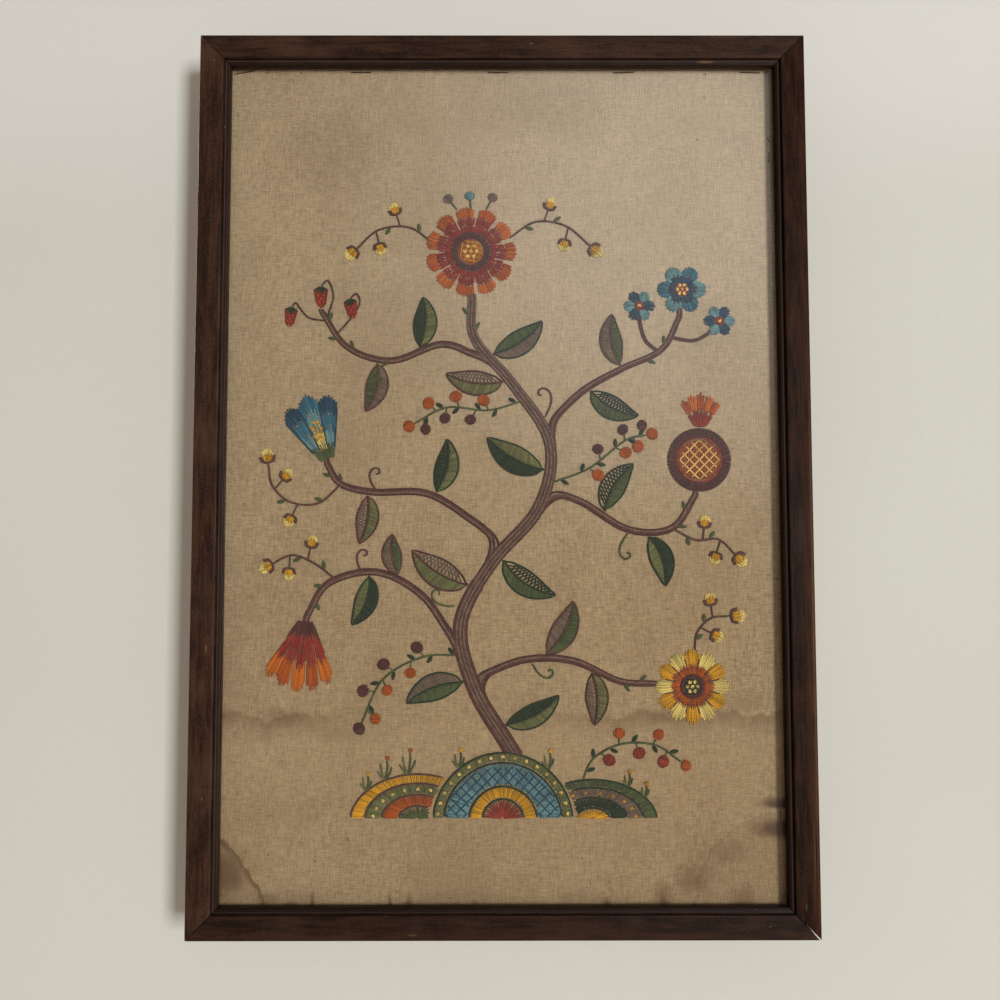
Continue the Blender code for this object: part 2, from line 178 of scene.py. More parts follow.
def bump(shader, height, distance):
    feed(shader, Normal=add_node("Bump", {"Distance": distance, "Height": height}))


def spots(right, up, places):
    """A mask of small ragged marks, each (right, up, half width, half height)."""
    total = 0.0
    torn = (noise(vector_of(right, up, 0.0), 2000.0, 2.0, 0.7) - 0.5) * 8.0
    for place_right, place_up, half_right, half_up in places:
        across = (right - place_right) / half_right
        along = (up - place_up) / half_up
        square = across * across + along * along
        total = maths("MAXIMUM", total, ramp(square + torn, 1.3, 0.3))
    return total


STAIN = (0.042, 0.019, 0.0112, 1)
DEEP_STAIN_AND_SHADE = (0.014, 0.0062, 0.0042, 1)
STAIN_LIGHT = (0.078, 0.04, 0.027, 1)
RED_WOOD = (0.108, 0.042, 0.02, 1)
BARE_WOOD_AND_EDGE_HIGHLIGHT = (0.2, 0.115, 0.062, 1)
CHIPPED = (0.135, 0.095, 0.072, 1)

stain, (along, across, behind, seed, worn, red, lip_highlight_strength, nicks, scuffs_and_edge_highlight, half_length), out = new_group(
    "stained_hardwood",
    dict.fromkeys(("Along", "Across", "Behind", "Seed", "Worn", "Red", "Lip Paleness", "Nicks", "Scuffs",
                   "Half Length"), "Float"),
    {"Colour": "Color", "Roughness": "Float", "Height": "Float"})
figure = noise(vector_of(along * 0.12, across + seed, behind + seed), 260.0, 4.0, 0.62, 0.5)
pore = ramp(noise(vector_of(along * 30.0, (across + seed) * 900.0, behind * 900.0), 1.0, 2.0, 0.5), 0.56, 0.72)
cloud = noise(vector_of(along, across, seed), 24.0, 3.0, 0.6)
tone = mix_colour(ramp(figure, 0.36, 0.68), DEEP_STAIN_AND_SHADE, STAIN)
tone = mix_colour(ramp(cloud, 0.45, 0.72) * 0.35, tone, STAIN_LIGHT)
speckle = noise(vector_of(along, across, seed), 620.0, 3.0, 0.7)
tone = mix_colour(ramp(speckle, 0.5, 0.72, 0.0, 0.4), tone, STAIN_LIGHT)
tone = mix_colour(ramp(speckle, 0.48, 0.3, 0.0, 0.55), tone, DEEP_STAIN_AND_SHADE)
tone = mix_colour(red * ramp(figure, 0.3, 0.75, 0.35, 1.0), tone, RED_WOOD)
tone = mix_colour(pore * 0.55, tone, DEEP_STAIN_AND_SHADE)
streak = noise(vector_of(along * 40.0, across * 420.0, seed), 1.0, 3.0, 0.6)
rubbed = worn * ramp(streak, 0.3, 0.7, 0.12, 0.85)
tone = mix_colour(rubbed, tone, RED_WOOD)
edge_rub = ramp(across, FACE - 0.0011, FACE - 0.0004) * ramp(cloud, 0.42, 0.62, 0.25, 0.9)
tone = mix_colour(edge_rub * ramp(behind, 0.0035, 0.0006), tone, RED_WOOD)
# Painted shade: the lip is darkened as though it lay in shadow, and a thin greyish painted highlight line runs along
# its crown.
lip = ramp(across, 0.0036, 0.0032) * ramp(behind, 0.006, 0.003)
tone = mix_colour(lip * 0.65, tone, DEEP_STAIN_AND_SHADE)
painted_lip_highlight = ramp(across, 0.0022, 0.0025) * ramp(across, 0.003, 0.0027) * lip_highlight_strength
tone = mix_colour(painted_lip_highlight, tone, (0.115, 0.105, 0.1, 1))
mitre = abs(abs(along) - half_length - across)
tone = mix_colour(ramp(mitre, 0.0006, 0.0001, 0.0, 0.85), tone, (0.004, 0.002, 0.0015, 1))
tone = mix_colour(nicks, tone, CHIPPED)
# Scuffs show bare wood; the long one along the right stile's outer arris is a painted highlight.
tone = mix_colour(scuffs_and_edge_highlight * 0.65, tone, BARE_WOOD_AND_EDGE_HIGHLIGHT)
back_face = ramp(behind, DEPTH - 0.0006, DEPTH - 0.0001)
tone = mix_colour(back_face * ramp(cloud, 0.3, 0.7, 0.55, 0.95), tone, BARE_WOOD_AND_EDGE_HIGHLIGHT)
shine = ramp(cloud, 0.3, 0.7, 0.4, 0.52)
for mask, amount in ((rubbed, 0.16), (scuffs_and_edge_highlight, 0.2), (back_face, 0.35)):
    shine = shine + mask * amount
for value, socket in zip((tone, shine, figure * 0.5 - pore * 0.4 - nicks * 2.2), out):
    link(value, socket)

# Columns: node, grain along right or up, side of the opening, seed, worn band, redness, painted light level
# (the member made paler or deeper for how the light falls on it), gloss of the stain, strength of the painted
# highlight line on the lip, nicks, scuffs (on the right stile also a painted highlight along the outer arris)
MEMBERS = (
    ("frame_rail_top", "right", 1, 0.11, 0.0, 0.04, 1.2, 0.1, 0.28,
     ((-0.1531, 0.312, 0.0007, 0.0005), (-0.0905, 0.3195, 0.0006, 0.0004)),
     ((0.1472, 0.3007, 0.0055, 0.0009), (0.021, 0.3135, 0.0016, 0.0005))),
    ("frame_stile_right", "up", 1, 0.37, 1.0, 0.12, 0.78, 0.035, 0.45,
     ((0.2083, -0.2975, 0.0007, 0.003),),
     # The long thin scuff at 0.217 is a painted highlight along the outer arris.
     ((0.2148, -0.262, 0.0004, 0.018), (0.217, -0.1, 0.0008, 0.16))),
    ("frame_rail_bottom", "right", -1, 0.62, 0.35, 0.1, 0.76, 0.1, 0.21,
     ((0.1828, -0.3106, 0.0013, 0.0006), (0.174, -0.2998, 0.001, 0.0004)),
     ((-0.062, -0.316, 0.003, 0.0006),)),
    ("frame_stile_left", "up", -1, 0.84, 0.0, 0.05, 1.4, 0.1, 0.27,
     ((-0.2082, 0.3015, 0.0007, 0.001), (-0.2001, 0.2523, 0.0006, 0.0012),
      (-0.208, -0.2238, 0.0007, 0.0013)),
     ((-0.2068, -0.121, 0.0004, 0.003),)),
)
for name, grain, side, seed, worn, red, painted_light_level, gloss, lip_highlight_strength, nicks, scuffs_and_edge_highlight in MEMBERS:
    finish, tree, shader, _, (right, y, up) = new_material(f"stained_{name}")
    level = grain == "right"
    along, across = (right, up) if level else (up, right)
    half_length, half = (SIGHT[0] / 2, SIGHT[1] / 2) if level else (SIGHT[1] / 2, SIGHT[0] / 2)
    across = across * float(side) - half
    band = ramp(across, FACE - 0.0085, FACE - 0.0035)
    if not level:
        band = band * ramp(up, 0.25, -0.28, 0.35, 1.0)
    finished = place_group(
        tree, stain, Along=along, Across=across, Behind=y + DEPTH, Seed=seed, Worn=band * worn, Red=red,
        Lip_Paleness=lip_highlight_strength, Nicks=spots(right, up, nicks), Scuffs=spots(right, up, scuffs_and_edge_highlight),
        Half_Length=half_length)
    # The member's colour is scaled by its painted light level: top and left paler, right and bottom deeper, for how the
    # light falls on each.
    feed(shader, Base_Color=scaled(finished["Colour"], painted_light_level), Roughness=finished["Roughness"],
         Specular_IOR_Level=gloss)
    bump(shader, finished["Height"], 0.00018)
    nodes[name].data.materials[0] = finish


# Glass pane: one sheet of old picture glass, 2 mm thick, lying in the frame's rebate. Its face is
# faintly uneven in gloss, and picks up the room as a pale haze.


def mix_surfaces(tree, share, first, second):
    """The first surface where share is 0, the second where it is 1."""
    mixed = tree.nodes.new("ShaderNodeMixShader")
    for value, socket in zip((share, first, second), mixed.inputs):
        link(value, socket)
    return mixed.outputs[0]


glass, tree, shader, where, _ = new_material("picture_glass", 0.02)
feed(shader, Base_Color=(0.985, 0.995, 0.99, 1), IOR=1.5, Transmission_Weight=1.0,
     Roughness=ramp(noise(where, 14.0, 3.0, 0.6), 0.3, 0.75, 0.006, 0.022))
light_path = tree.nodes.new("ShaderNodeLightPath")
clear = tree.nodes.new("ShaderNodeBsdfTransparent")
surface = shader.outputs[0]
for ray in ("Is Diffuse Ray", "Is Shadow Ray"):
    surface = mix_surfaces(tree, light_path.outputs[ray], surface, clear.outputs[0])
link(surface, tree.nodes["Material Output"].inputs["Surface"])
nodes["glass_pane"].data.materials[0] = glass


# Backing board: a sheet of brown fibre board, cut to the size of the glass. The linen is stapled
# to its face, and its bare back closes the frame.
board, tree, shader, where, (right, _, up) = new_material("fibre_board", 0.8)
felted = noise(where, 900.0, 3.0, 0.7)
patchy = noise(where, 18.0, 4.0, 0.6)
screen = maths("SINE", right * 2900.0) * maths("SINE", up * 2900.0)
tone = mix_colour(ramp(felted, 0.3, 0.7), (0.125, 0.068, 0.034, 1), (0.24, 0.145, 0.08, 1))
tone = mix_colour(ramp(patchy, 0.45, 0.75, 0.0, 0.5), tone, (0.105, 0.055, 0.028, 1))
feed(shader, Base_Color=tone, Roughness=ramp(felted, 0.3, 0.7, 0.7, 0.9))
bump(shader, screen * 0.25 + felted, 0.00025)
nodes["backing_board"].data.materials[0] = board


# Linen ground: one stretched sheet of plain-woven natural linen. Its yarns are uneven, with slubs
# and dark flecks, and old damp has left tide lines and brown stains along the lower edge.
PANE = (0.4064, 0.6096)
LINEN_FACE = -0.0081
LINEN_COLUMNS, LINEN_ROWS = 96, 144
LINEN_THICKNESS = 0.0009
YARN_PITCH = 0.00072


def stands_proud(right, up):
    """How far the cloth lifts off the board: between its staples near the edges, and in a gentle slack all over."""
    near_top = np.clip(1 - (PANE[1] / 2 - np.abs(up)) / 0.016, 0, 1)
    near_side = np.clip(1 - (PANE[0] / 2 - np.abs(right)) / 0.014, 0, 1)
    edge = np.maximum(near_top * (0.5 - 0.5 * np.cos(2 * np.pi * (right + 0.189) / 0.093)),
                      near_side * (0.5 - 0.5 * np.cos(2 * np.pi * (up - 0.2339) / 0.0944)))
    slack = (np.sin(right * 61 + 1.3) * np.sin(up * 43 + 0.4) + np.sin(right * 27 - up * 35)) / 4
    return 0.00032 * edge + 0.00007 * slack + 0.00007


bpy.ops.object.select_all(action="DESELECT")
bpy.ops.mesh.primitive_grid_add(x_subdivisions=LINEN_COLUMNS, y_subdivisions=LINEN_ROWS, size=1.0,
                                location=(0, 0, 0))
linen = bpy.context.object
linen.name = "linen_cloth"
for vert in linen.data.vertices:
    vert_right, vert_up = vert.co.x * (PANE[0] - 0.0004), vert.co.y * (PANE[1] - 0.0004)
    vert.co = (vert_right, LINEN_FACE - float(stands_proud(vert_right, vert_up)), CENTRE_Z + vert_up)
thick = linen.modifiers.new("cloth_thickness", "SOLIDIFY")
thick.thickness = LINEN_THICKNESS
thick.offset = -1.0
bpy.ops.object.modifier_apply(modifier=thick.name)
bpy.ops.object.shade_smooth()

cloth, tree, shader, where, (right, y, up) = new_material("natural_linen", 0.92)
drift = noise(where, 11.0, 2.0, 0.5)
wander = (drift - 0.5) * 0.004
YARN_TURN = 2 * math.pi / YARN_PITCH
crossing = maths("SINE", (right + wander) * YARN_TURN) * maths("SINE", (up + wander) * YARN_TURN)


def yarn_streaks(along, across, length, width, low=0.3, high=0.7):
    """Uneven yarns: noise drawn out along the yarn and as fine as one yarn across it."""
    return ramp(noise(vector_of(along / length, across / width, y), 1.0, 2.0, 0.55), low, high)


warp_light = yarn_streaks(up, right, 0.009, 0.00085)
weft_light = yarn_streaks(right, up, 0.008, 0.00085)
warp_thick = yarn_streaks(up, right, 0.03, 0.0026)
weft_thick = yarn_streaks(right, up, 0.024, 0.0023)
warp_slub = yarn_streaks(up, right, 0.005, 0.0009, 0.6, 0.76)
weft_slub = yarn_streaks(right, up, 0.004, 0.0009, 0.58, 0.74)
clump = noise(where, 340.0, 3.0, 0.65)
cloudy = noise(where, 42.0, 3.0, 0.6)
fleck = ramp(noise(where, 620.0, 1.0, 0.5), 0.69, 0.75)
LINEN_DEEP, LINEN_PALE = (0.248, 0.149, 0.064, 1), (0.68, 0.486, 0.282, 1)
# Painted reflection: over the upper part, most towards the upper right, the cloth is made paler and veiled in pale
# cream, standing in for the window's haze on the glass.
painted_haze = ramp(up, -0.12, 0.2) * ramp(right, -0.2, 0.12, 0.22, 1.0)
paleness = 0.515
for part, centre, amount in ((warp_light, 0.5, 0.31), (weft_light, 0.5, 0.31), (warp_thick, 0.5, 0.09),
                             (weft_thick, 0.5, 0.09), (clump, 0.5, 0.62), (cloudy, 0.5, 0.34),
                             (warp_slub, 0.1, -0.34), (weft_slub, 0.1, -0.38), (crossing, 0.0, -0.06)):
    paleness = paleness + (part - centre) * amount
tone = mix_colour(ramp(paleness, 0.0, 1.0, smooth=False), LINEN_DEEP, LINEN_PALE)
tone = mix_colour(fleck * 0.5, tone, (0.09, 0.05, 0.022, 1))
mottle = noise(where, 7.0, 2.0, 0.6)
tone = mix_colour(ramp(mottle, 0.46, 0.72, 0.0, 0.3), tone, (0.31, 0.182, 0.08, 1))
haze_lifted = scaled(tone, ramp(painted_haze, 0.0, 1.0, 1.0, 1.2, smooth=False))
tone = mix_colour(painted_haze * 0.225, haze_lifted, (0.97, 0.93, 0.83, 1))
# Damp stains: soft brown blots, darkest at the frame, and narrow tide lines round two corners
ragged = noise(where, 120.0, 3.0, 0.65) - 0.5


def stain_reach(place_right, place_up, half_right, half_up, torn):
    """Distance from a stain's middle, 1 at its edge, with the edge torn by noise."""
    away_right = (right - place_right) / half_right
    away_up = (up - place_up) / half_up
    return maths("SQRT", away_right * away_right + away_up * away_up) + ragged * torn


BROWN_STAIN, RED_STAIN, DARK_STAIN = (0.168, 0.088, 0.035, 1), (0.155, 0.066, 0.043, 1), (0.064, 0.029, 0.02, 1)
# Columns of the next three: middle, half width, half height, strength
BLOTS = (
    (0.1123, -0.296, 0.01, 0.017, 0.6), (0.1318, -0.284, 0.017, 0.013, 0.65),
    (0.14, -0.265, 0.026, 0.024, 0.3), (0.16, -0.264, 0.017, 0.01, 0.32),
    (0.168, -0.2965, 0.012, 0.012, 0.55), (-0.196, -0.278, 0.021, 0.024, 1.0),
    (-0.164, -0.296, 0.012, 0.007, 0.6), (-0.144, -0.296, 0.03, 0.009, 0.3),
    (-0.04, -0.297, 0.06, 0.009, 0.28), (0.055, -0.297, 0.04, 0.009, 0.28),
    (-0.1985, -0.1705, 0.016, 0.006, 0.5), (-0.156, -0.17, 0.019, 0.009, 0.45),
    (-0.115, -0.182, 0.022, 0.008, 0.22), (0.118, -0.169, 0.026, 0.008, 0.35),
    (0.17, -0.16, 0.02, 0.01, 0.25), (0.198, 0.23, 0.006, 0.05, 0.35),
    (-0.12, 0.245, 0.05, 0.035, 0.16), (0.03, 0.27, 0.06, 0.025, 0.14),
    (0.15, 0.1, 0.04, 0.04, 0.14),
)
RED_STREAKS = ((0.1985, -0.23, 0.0245, 0.0062, 0.9), (0.1985, -0.2482, 0.031, 0.0095, 0.9),
               (-0.1965, -0.28, 0.017, 0.015, 0.5))
STREAKS = (
    (0.1985, -0.2312, 0.017, 0.0034, 1.0), (0.1985, -0.2478, 0.019, 0.0064, 0.95),
    (-0.1332, -0.301, 0.0022, 0.0135, 0.75), (-0.0791, -0.301, 0.002, 0.013, 0.75),
    (-0.0658, -0.3005, 0.0032, 0.01, 0.6), (-0.148, -0.3005, 0.006, 0.005, 0.5),
    (0.072, -0.3005, 0.005, 0.008, 0.6), (0.112, -0.3005, 0.004, 0.01, 0.6),
    (-0.02, -0.3005, 0.004, 0.005, 0.5),
)
for marks, torn, fades_from, full_at, stained_with in (
        (BLOTS, 1.0, 1.15, 0.15, BROWN_STAIN), (RED_STREAKS, 0.5, 1.05, 0.3, RED_STAIN),
        (STREAKS, 0.45, 1.1, 0.25, DARK_STAIN)):
    for *place, strength in marks:
        mark = ramp(stain_reach(*place, torn), fades_from, full_at, 0.0, strength)
        tone = mix_colour(mark, tone, stained_with)
# Columns: middle, half width, half height, raggedness, width of the line, its strength
TIDE_RINGS = ((-0.303, -0.361, 0.15, 0.15, 0.06, 0.03, 0.95), (0.2, -0.3, 0.066, 0.064, 0.14, 0.12, 0.3))
for *place, torn, thickness, strength in TIDE_RINGS:
    reach = stain_reach(*place, torn)
    line = ramp(reach, 1.0 - thickness, 0.997) * ramp(reach, 1.01, 0.999)
    within = ramp(reach, 1.005, 0.985, 0.0, 0.18)
    mark = maths("MAXIMUM", line * strength, within)
    tone = mix_colour(mark, tone, BROWN_STAIN)
# An old water line across both sides of the lower part
wave = noise(vector_of(right, 0.0, 3.0), 22.0, 4.0, 0.7)
from_line = up - (-0.17 + (wave - 0.5) * 0.045)
tide = ramp(from_line, -0.02, -0.001) * ramp(from_line, 0.0035, 0.0)
sides_only = ramp(abs(right + 0.03), 0.04, 0.11, 0.12, 1.0)
tide = tide * sides_only * ramp(cloudy, 0.3, 0.6, 0.25, 1.0)
tone = mix_colour(tide * 0.55, tone, (0.2, 0.105, 0.045, 1))
washed = ramp(from_line, 0.0, -0.006) * ramp(from_line, -0.075, -0.03)
tone = mix_colour(washed * 0.12, tone, LINEN_PALE)
lower = ramp(up, -0.12, -0.29, 0.0, 0.16)
tone = mix_colour(lower, tone, (0.345, 0.204, 0.085, 1))
DOTS = (
    (-0.1646, -0.2652, 0.0009, 0.0009), (-0.1315, -0.27, 0.001, 0.0008), (-0.109, -0.2548, 0.0009, 0.001),
    (-0.0742, -0.2907, 0.0009, 0.0008), (0.1427, 0.2475, 0.0008, 0.001), (0.1482, 0.2792, 0.0009, 0.0009),
    (-0.1727, 0.2975, 0.0011, 0.0012), (-0.1475, 0.2975, 0.0011, 0.001), (0.1492, 0.2965, 0.0012, 0.001),
    (-0.008, 0.265, 0.0007, 0.0009), (0.055, -0.268, 0.0008, 0.0008),
)
tone = mix_colour(spots(right, up, DOTS) * 0.65, tone, (0.12, 0.06, 0.025, 1))
feed(shader, Base_Color=tone, Sheen_Weight=0.15, Specular_IOR_Level=0.2)
bump(shader, crossing + warp_light, 0.00014)
linen.data.materials.append(cloth)
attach(linen, "root")
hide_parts("linen_ground")


# Staples: flat steel wire crowns that hold the linen's edge to the board, browned by rust. Their
# solids are right, and get the worn finish.
rusty, tree, shader, where, _ = new_material("staple_wire", 0.55)
bloom = noise(where, 1400.0, 2.0, 0.6)
tone = mix_colour(ramp(bloom, 0.4, 0.62), (0.03, 0.022, 0.018, 1), (0.085, 0.036, 0.016, 1))
feed(shader, Base_Color=tone, Metallic=ramp(bloom, 0.4, 0.62, 0.75, 0.1),
     Roughness=ramp(bloom, 0.4, 0.62, 0.45, 0.85))
bump(shader, bloom, 8e-05)
for name in nodes:
    if name.startswith("staple_"):
        nodes[name].data.materials[0] = rusty


# Hillocks: three low mounds at the foot of the design, the middle one in front. Each is worked in
# bands of satin stitch that follow its curve, in crewel wool sewn through the linen, with rows of
# stem stitch between them and a diamond trellis laid on the middle one.
WOOL_COLOURS = {
    "light_orange": (182, 92, 20), "burnt_orange": (164, 74, 14), "rust_red": (134, 48, 36),
    "bright_red": (134, 36, 26), "plum": (80, 40, 38), "mauve_brown": (86, 54, 48),
    "taupe": (110, 90, 76), "sage": (102, 102, 62), "leaf_green": (72, 82, 48),
    "dark_green": (28, 46, 28), "gold": (196, 140, 24), "pale_yellow": (214, 188, 108),
    "teal": (50, 98, 116), "dark_blue": (32, 62, 82), "light_teal": (94, 132, 136),
    "knot_gold": (224, 180, 104), "trellis_brown": (150, 72, 26),
}
DYE_DEPTH = 1.3
PLY_PITCH = 0.0022
STRAND_RING = 6
STRAND_STATIONS = 7
LOOP_STATIONS = 15
SUNK = 0.0003
TUCK_LENGTH = 0.0007
ROW_PITCH = 0.00125
SATIN_PITCH, SATIN_TOP = 0.00114, 0.00108
LONE_WIDTH, SATIN_WIDTH = 0.00122, 0.0012
STRAND_FLATNESS = 0.82
STEM_LEAN = 0.0003

crewel, (lie, dye, shade), out = new_group(
    "crewel_wool", {"Strand": "Vector", "Dye": "Color", "Shade": "Float"}, {"Colour": "Color", "Height": "Float"})
run, around, _ = split_up(lie)
turn = run / PLY_PITCH + around
ply = abs(maths("SINE", turn * math.pi))
fibre = noise(vector_of(run * 1500.0, turn * 9.0, 0.0), 1.0, 2.0, 0.6)
crown = maths("MAXIMUM", maths("SINE", around * (2 * math.pi)), 0.0)
# Painted shade and highlight: the ply term darkens the grooves of the twist, and the crown term lightens the top of
# each strand and darkens its sides. The fibre noise and the stitch's Shade vary the tone at random.
light = ply * 0.22 + fibre * 0.42 + (shade - 0.5) * 0.95 + (crown - 0.75) * 0.75
link(mix_colour(ramp(light, 0.1, 0.85, smooth=False), scaled(dye, 0.34), scaled(dye, 1.4)), out["Colour"])
link(ply + fibre * 0.7, out["Height"])


def linear(level):
    level /= 255
    return level / 12.92 if level <= 0.04045 else ((level + 0.055) / 1.055) ** 2.4


wools = {}
for wool_name, colour in WOOL_COLOURS.items():
    dye = [min(linear(c) * DYE_DEPTH, 0.9) for c in colour]
    wool, tree, shader, *_ = new_material(f"wool_{wool_name}", 0.86)
    lie = tree.nodes.new("ShaderNodeTexCoord").outputs["UV"]
    shade = tree.nodes.new("ShaderNodeAttribute")
    shade.attribute_name = "shade"
    dyed = place_group(tree, crewel, Strand=lie, Dye=(*dye, 1), Shade=shade.outputs["Fac"])
    feed(shader, Base_Color=dyed["Colour"], Sheen_Weight=0.12, Sheen_Roughness=0.5, Specular_IOR_Level=0.15)
    bump(shader, dyed["Height"], 0.00014)
    wools[wool_name] = wool

rng = np.random.default_rng(23)
laid = []


def run_of(route):
    """How far along a route each of its points lies."""
    return np.concatenate([[0.0], np.cumsum(np.linalg.norm(np.diff(route, axis=0), axis=1))])


def spread(route, shares):
    """Points at the given shares of a route's length."""
    route = np.asarray(route, float)
    run = run_of(route)
    at = np.asarray(shares) * run[-1]
    return np.stack([np.interp(at, run, route[:, 0]), np.interp(at, run, route[:, 1])], axis=-1)


def stitch(route, wool, width=LONE_WIDTH, top=SATIN_TOP, stations=STRAND_STATIONS):
    """Lays one stitch of wool along a route, its crown at the given height above the linen."""
    shares = (1 - np.cos(np.pi * np.linspace(0, 1, stations))) / 2
    laid.append((spread(route, shares), width / 2 * rng.uniform(0.92, 1.08), top + rng.uniform(-6e-5, 6e-5),
                 wool, rng.uniform(0.3, 0.7), rng.uniform(0, PLY_PITCH)))


def sew(name, slot, *replaced):
    """Makes one piece of all the stitches laid since the last: closed strands, ends in the cloth."""
    palette = sorted({s[3] for s in laid})
    points, quads, ends, uvs, end_uvs, shades, inks, end_inks = ([] for _ in range(8))
    first = 0
    for stations in sorted({len(s[0]) for s in laid}):
        batch = [s for s in laid if len(s[0]) == stations]
        count = len(batch)
        routes = np.array([s[0] for s in batch])
        half, top, start = (np.array([s[column] for s in batch])[:, None] for column in (1, 2, 5))
        step = np.linalg.norm(np.diff(routes, axis=1), axis=2)
        run = np.concatenate([np.zeros((count, 1)), np.cumsum(step, axis=1)], axis=1)
        ahead = np.gradient(routes, axis=1)
        ahead /= np.maximum(np.linalg.norm(ahead, axis=2), 1e-9)[..., None]
        near_end = np.minimum(run, run[:, -1:] - run)
        rise = np.minimum(1.0, near_end / TUCK_LENGTH) ** 0.5
        wide = half * (0.45 + 0.55 * rise)
        middle = rise * (top - half * STRAND_FLATNESS) - (1 - rise) * SUNK
        ring = 2 * np.pi * np.arange(STRAND_RING) / STRAND_RING
        out_by = wide[..., None] * np.cos(ring)
        right = routes[..., 0, None] - ahead[..., 1, None] * out_by
        up = routes[..., 1, None] + ahead[..., 0, None] * out_by
        high = middle[..., None] + (wide * STRAND_FLATNESS)[..., None] * np.sin(ring)
        points.extend(np.stack([right, LINEN_FACE - high, CENTRE_Z + up], axis=-1).reshape(-1, 3).tolist())
        index = first + np.arange(count * stations * STRAND_RING).reshape(count, stations, STRAND_RING)
        after = np.roll(index, -1, axis=2)
        sides = np.stack([index[:, :-1], after[:, :-1], after[:, 1:], index[:, 1:]], axis=-1)
        quads.extend(sides.reshape(-1, 4).tolist())
        ends.extend(np.stack([index[:, 0, ::-1], index[:, -1]], axis=1).reshape(-1, STRAND_RING).tolist())
        around = np.arange(STRAND_RING + 1) / STRAND_RING
        flat = np.stack(np.broadcast_arrays((run + start)[..., None], around), axis=-1)
        uvs.append(np.stack([flat[:, :-1, :-1], flat[:, :-1, 1:], flat[:, 1:, 1:], flat[:, 1:, :-1]],
                            axis=3).reshape(-1, 2))
        end_uvs.append(np.stack([flat[:, 0, -2::-1], flat[:, -1, :-1]], axis=1).reshape(-1, 2))
        shades.append(np.repeat([s[4] for s in batch], stations * STRAND_RING))
        ink = np.array([palette.index(s[3]) for s in batch])
        inks.append(np.repeat(ink, (stations - 1) * STRAND_RING))
        end_inks.append(np.repeat(ink, 2))
        first += count * stations * STRAND_RING
    mesh = bpy.data.meshes.new(name)
    mesh.from_pydata(points, [], quads + ends)
    mesh.uv_layers.new(name="strand").data.foreach_set("uv", np.concatenate(uvs + end_uvs).ravel())
    mesh.attributes.new("shade", "FLOAT", "POINT").data.foreach_set("value", np.concatenate(shades))
    for wool in palette:
        mesh.materials.append(wools[wool])
    mesh.polygons.foreach_set("material_index", np.concatenate(inks + end_inks).astype(np.int32))
    mesh.polygons.foreach_set("use_smooth", np.ones(len(mesh.polygons), bool))
    mesh.update()
    piece = bpy.data.objects.new(name, mesh)
    bpy.context.scene.collection.objects.link(piece)
    laid.clear()
    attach(piece, "root")
    if replaced:
        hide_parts(*replaced)


def fill(surface, near, far, wool, jag=0.0, top=SATIN_TOP, keep=None, open_at=None):
    """Satin stitches side by side, each from depth near to depth far of a surface(share, depth). No
    stitch is laid where open_at(share) is true."""
    middle = np.array([surface(s, (near + far) / 2) for s in np.linspace(0, 1, 41)])
    count = max(2, round(run_of(middle)[-1] / SATIN_PITCH))
    for k in range(count):
        share = (k + 0.5 + rng.uniform(-0.12, 0.12)) / count
        if open_at and open_at(share):
            continue
        uneven = jag * (far - near) * (0.5 if k % 2 else -0.5) + rng.uniform(-0.25, 0.25) * jag * (far - near)
        start = near + (uneven if near > 0.02 else 0.0)
        route = [surface(share, d) for d in np.linspace(start, far + uneven * 0.9 + rng.normal(0, 0.008), 6)]
        if keep:
            route = [p for p in route if keep(p)]
        if len(route) > 1 and math.dist(route[-1], route[0]) > 0.0012:
            stitch(route, wool(share) if callable(wool) else wool, SATIN_WIDTH, top)


def unit(vectors):
    return vectors / np.linalg.norm(vectors, axis=-1, keepdims=True)


def side_ways(route):
    """Unit vectors to the left of each point of a route."""
    ahead = unit(np.gradient(route, axis=0))
    return np.stack([-ahead[:, 1], ahead[:, 0]], axis=1)


def stem_row(route, wool, width, top, length=0.006, keep=None):
    """One row of stem stitch: each stitch starts half way along the last and leans across the row."""
    whole = run_of(route)[-1]
    count = max(1, round(whole / (length / 2)) - 1)
    step = whole / (count + 1)
    for k in range(count):
        piece = spread(route, np.linspace(k * step, (k + 2) * step, 6) / whole)
        if keep is None or (keep(piece[0]) and keep(piece[-1])):
            stitch(piece + side_ways(piece) * np.linspace(-STEM_LEAN, STEM_LEAN, 6)[:, None], wool, width, top)


def out_from(middle, reach, turn):
    """The point at a distance from a middle, towards a direction given in radians."""
    return np.stack([middle[0] + reach * np.cos(turn), middle[1] + reach * np.sin(turn)], axis=-1)


def axes(heading):
    """Unit vectors along a heading, given in degrees, and to its left."""
    ahead = out_from((0.0, 0.0), 1.0, math.radians(heading))
    return ahead, np.array([-ahead[1], ahead[0]])


def knot(centre, wool, size, top, width=0.0015):
    """A French knot: wool wound into a tight ring, with a dimple in its middle."""
    turn = rng.uniform(0, 2 * np.pi) + np.linspace(0, 2 * np.pi * 1.04, 15)
    stitch(out_from(centre, (size - width) / 2, turn), wool, width, top, LOOP_STATIONS)


def lattice(inside, middle, reach, pitch, heading, wool, ties=None, width=0.001, top=0.00145):
    """Long threads laid both ways over a shape and tied down where they cross."""
    ways = [axes(heading), axes(heading + 90)]
    count = int(reach / pitch)
    for axis, across in ways:
        for k in range(-count, count + 1):
            run = []
            for place in [middle + across * k * pitch + axis * s for s in np.arange(-reach, reach, 0.0005)] + [None]:
                if place is not None and inside(place):
                    run.append(place)
                elif run:
                    if len(run) > 4:
                        stitch([run[0], run[-1]], wool, width, top)
                    run = []
    if ties:
        (a, a_across), (b, b_across) = ways
        slip = unit(a + b) * 0.0009
        for k in range(-count, count + 1):
            for m in range(-count, count + 1):
                place = middle + (a_across * k + b_across * m) * pitch
                if inside(place):
                    stitch([place - slip, place + slip], ties, 0.0009, top + 0.0003)


HILL_BASE = -0.241
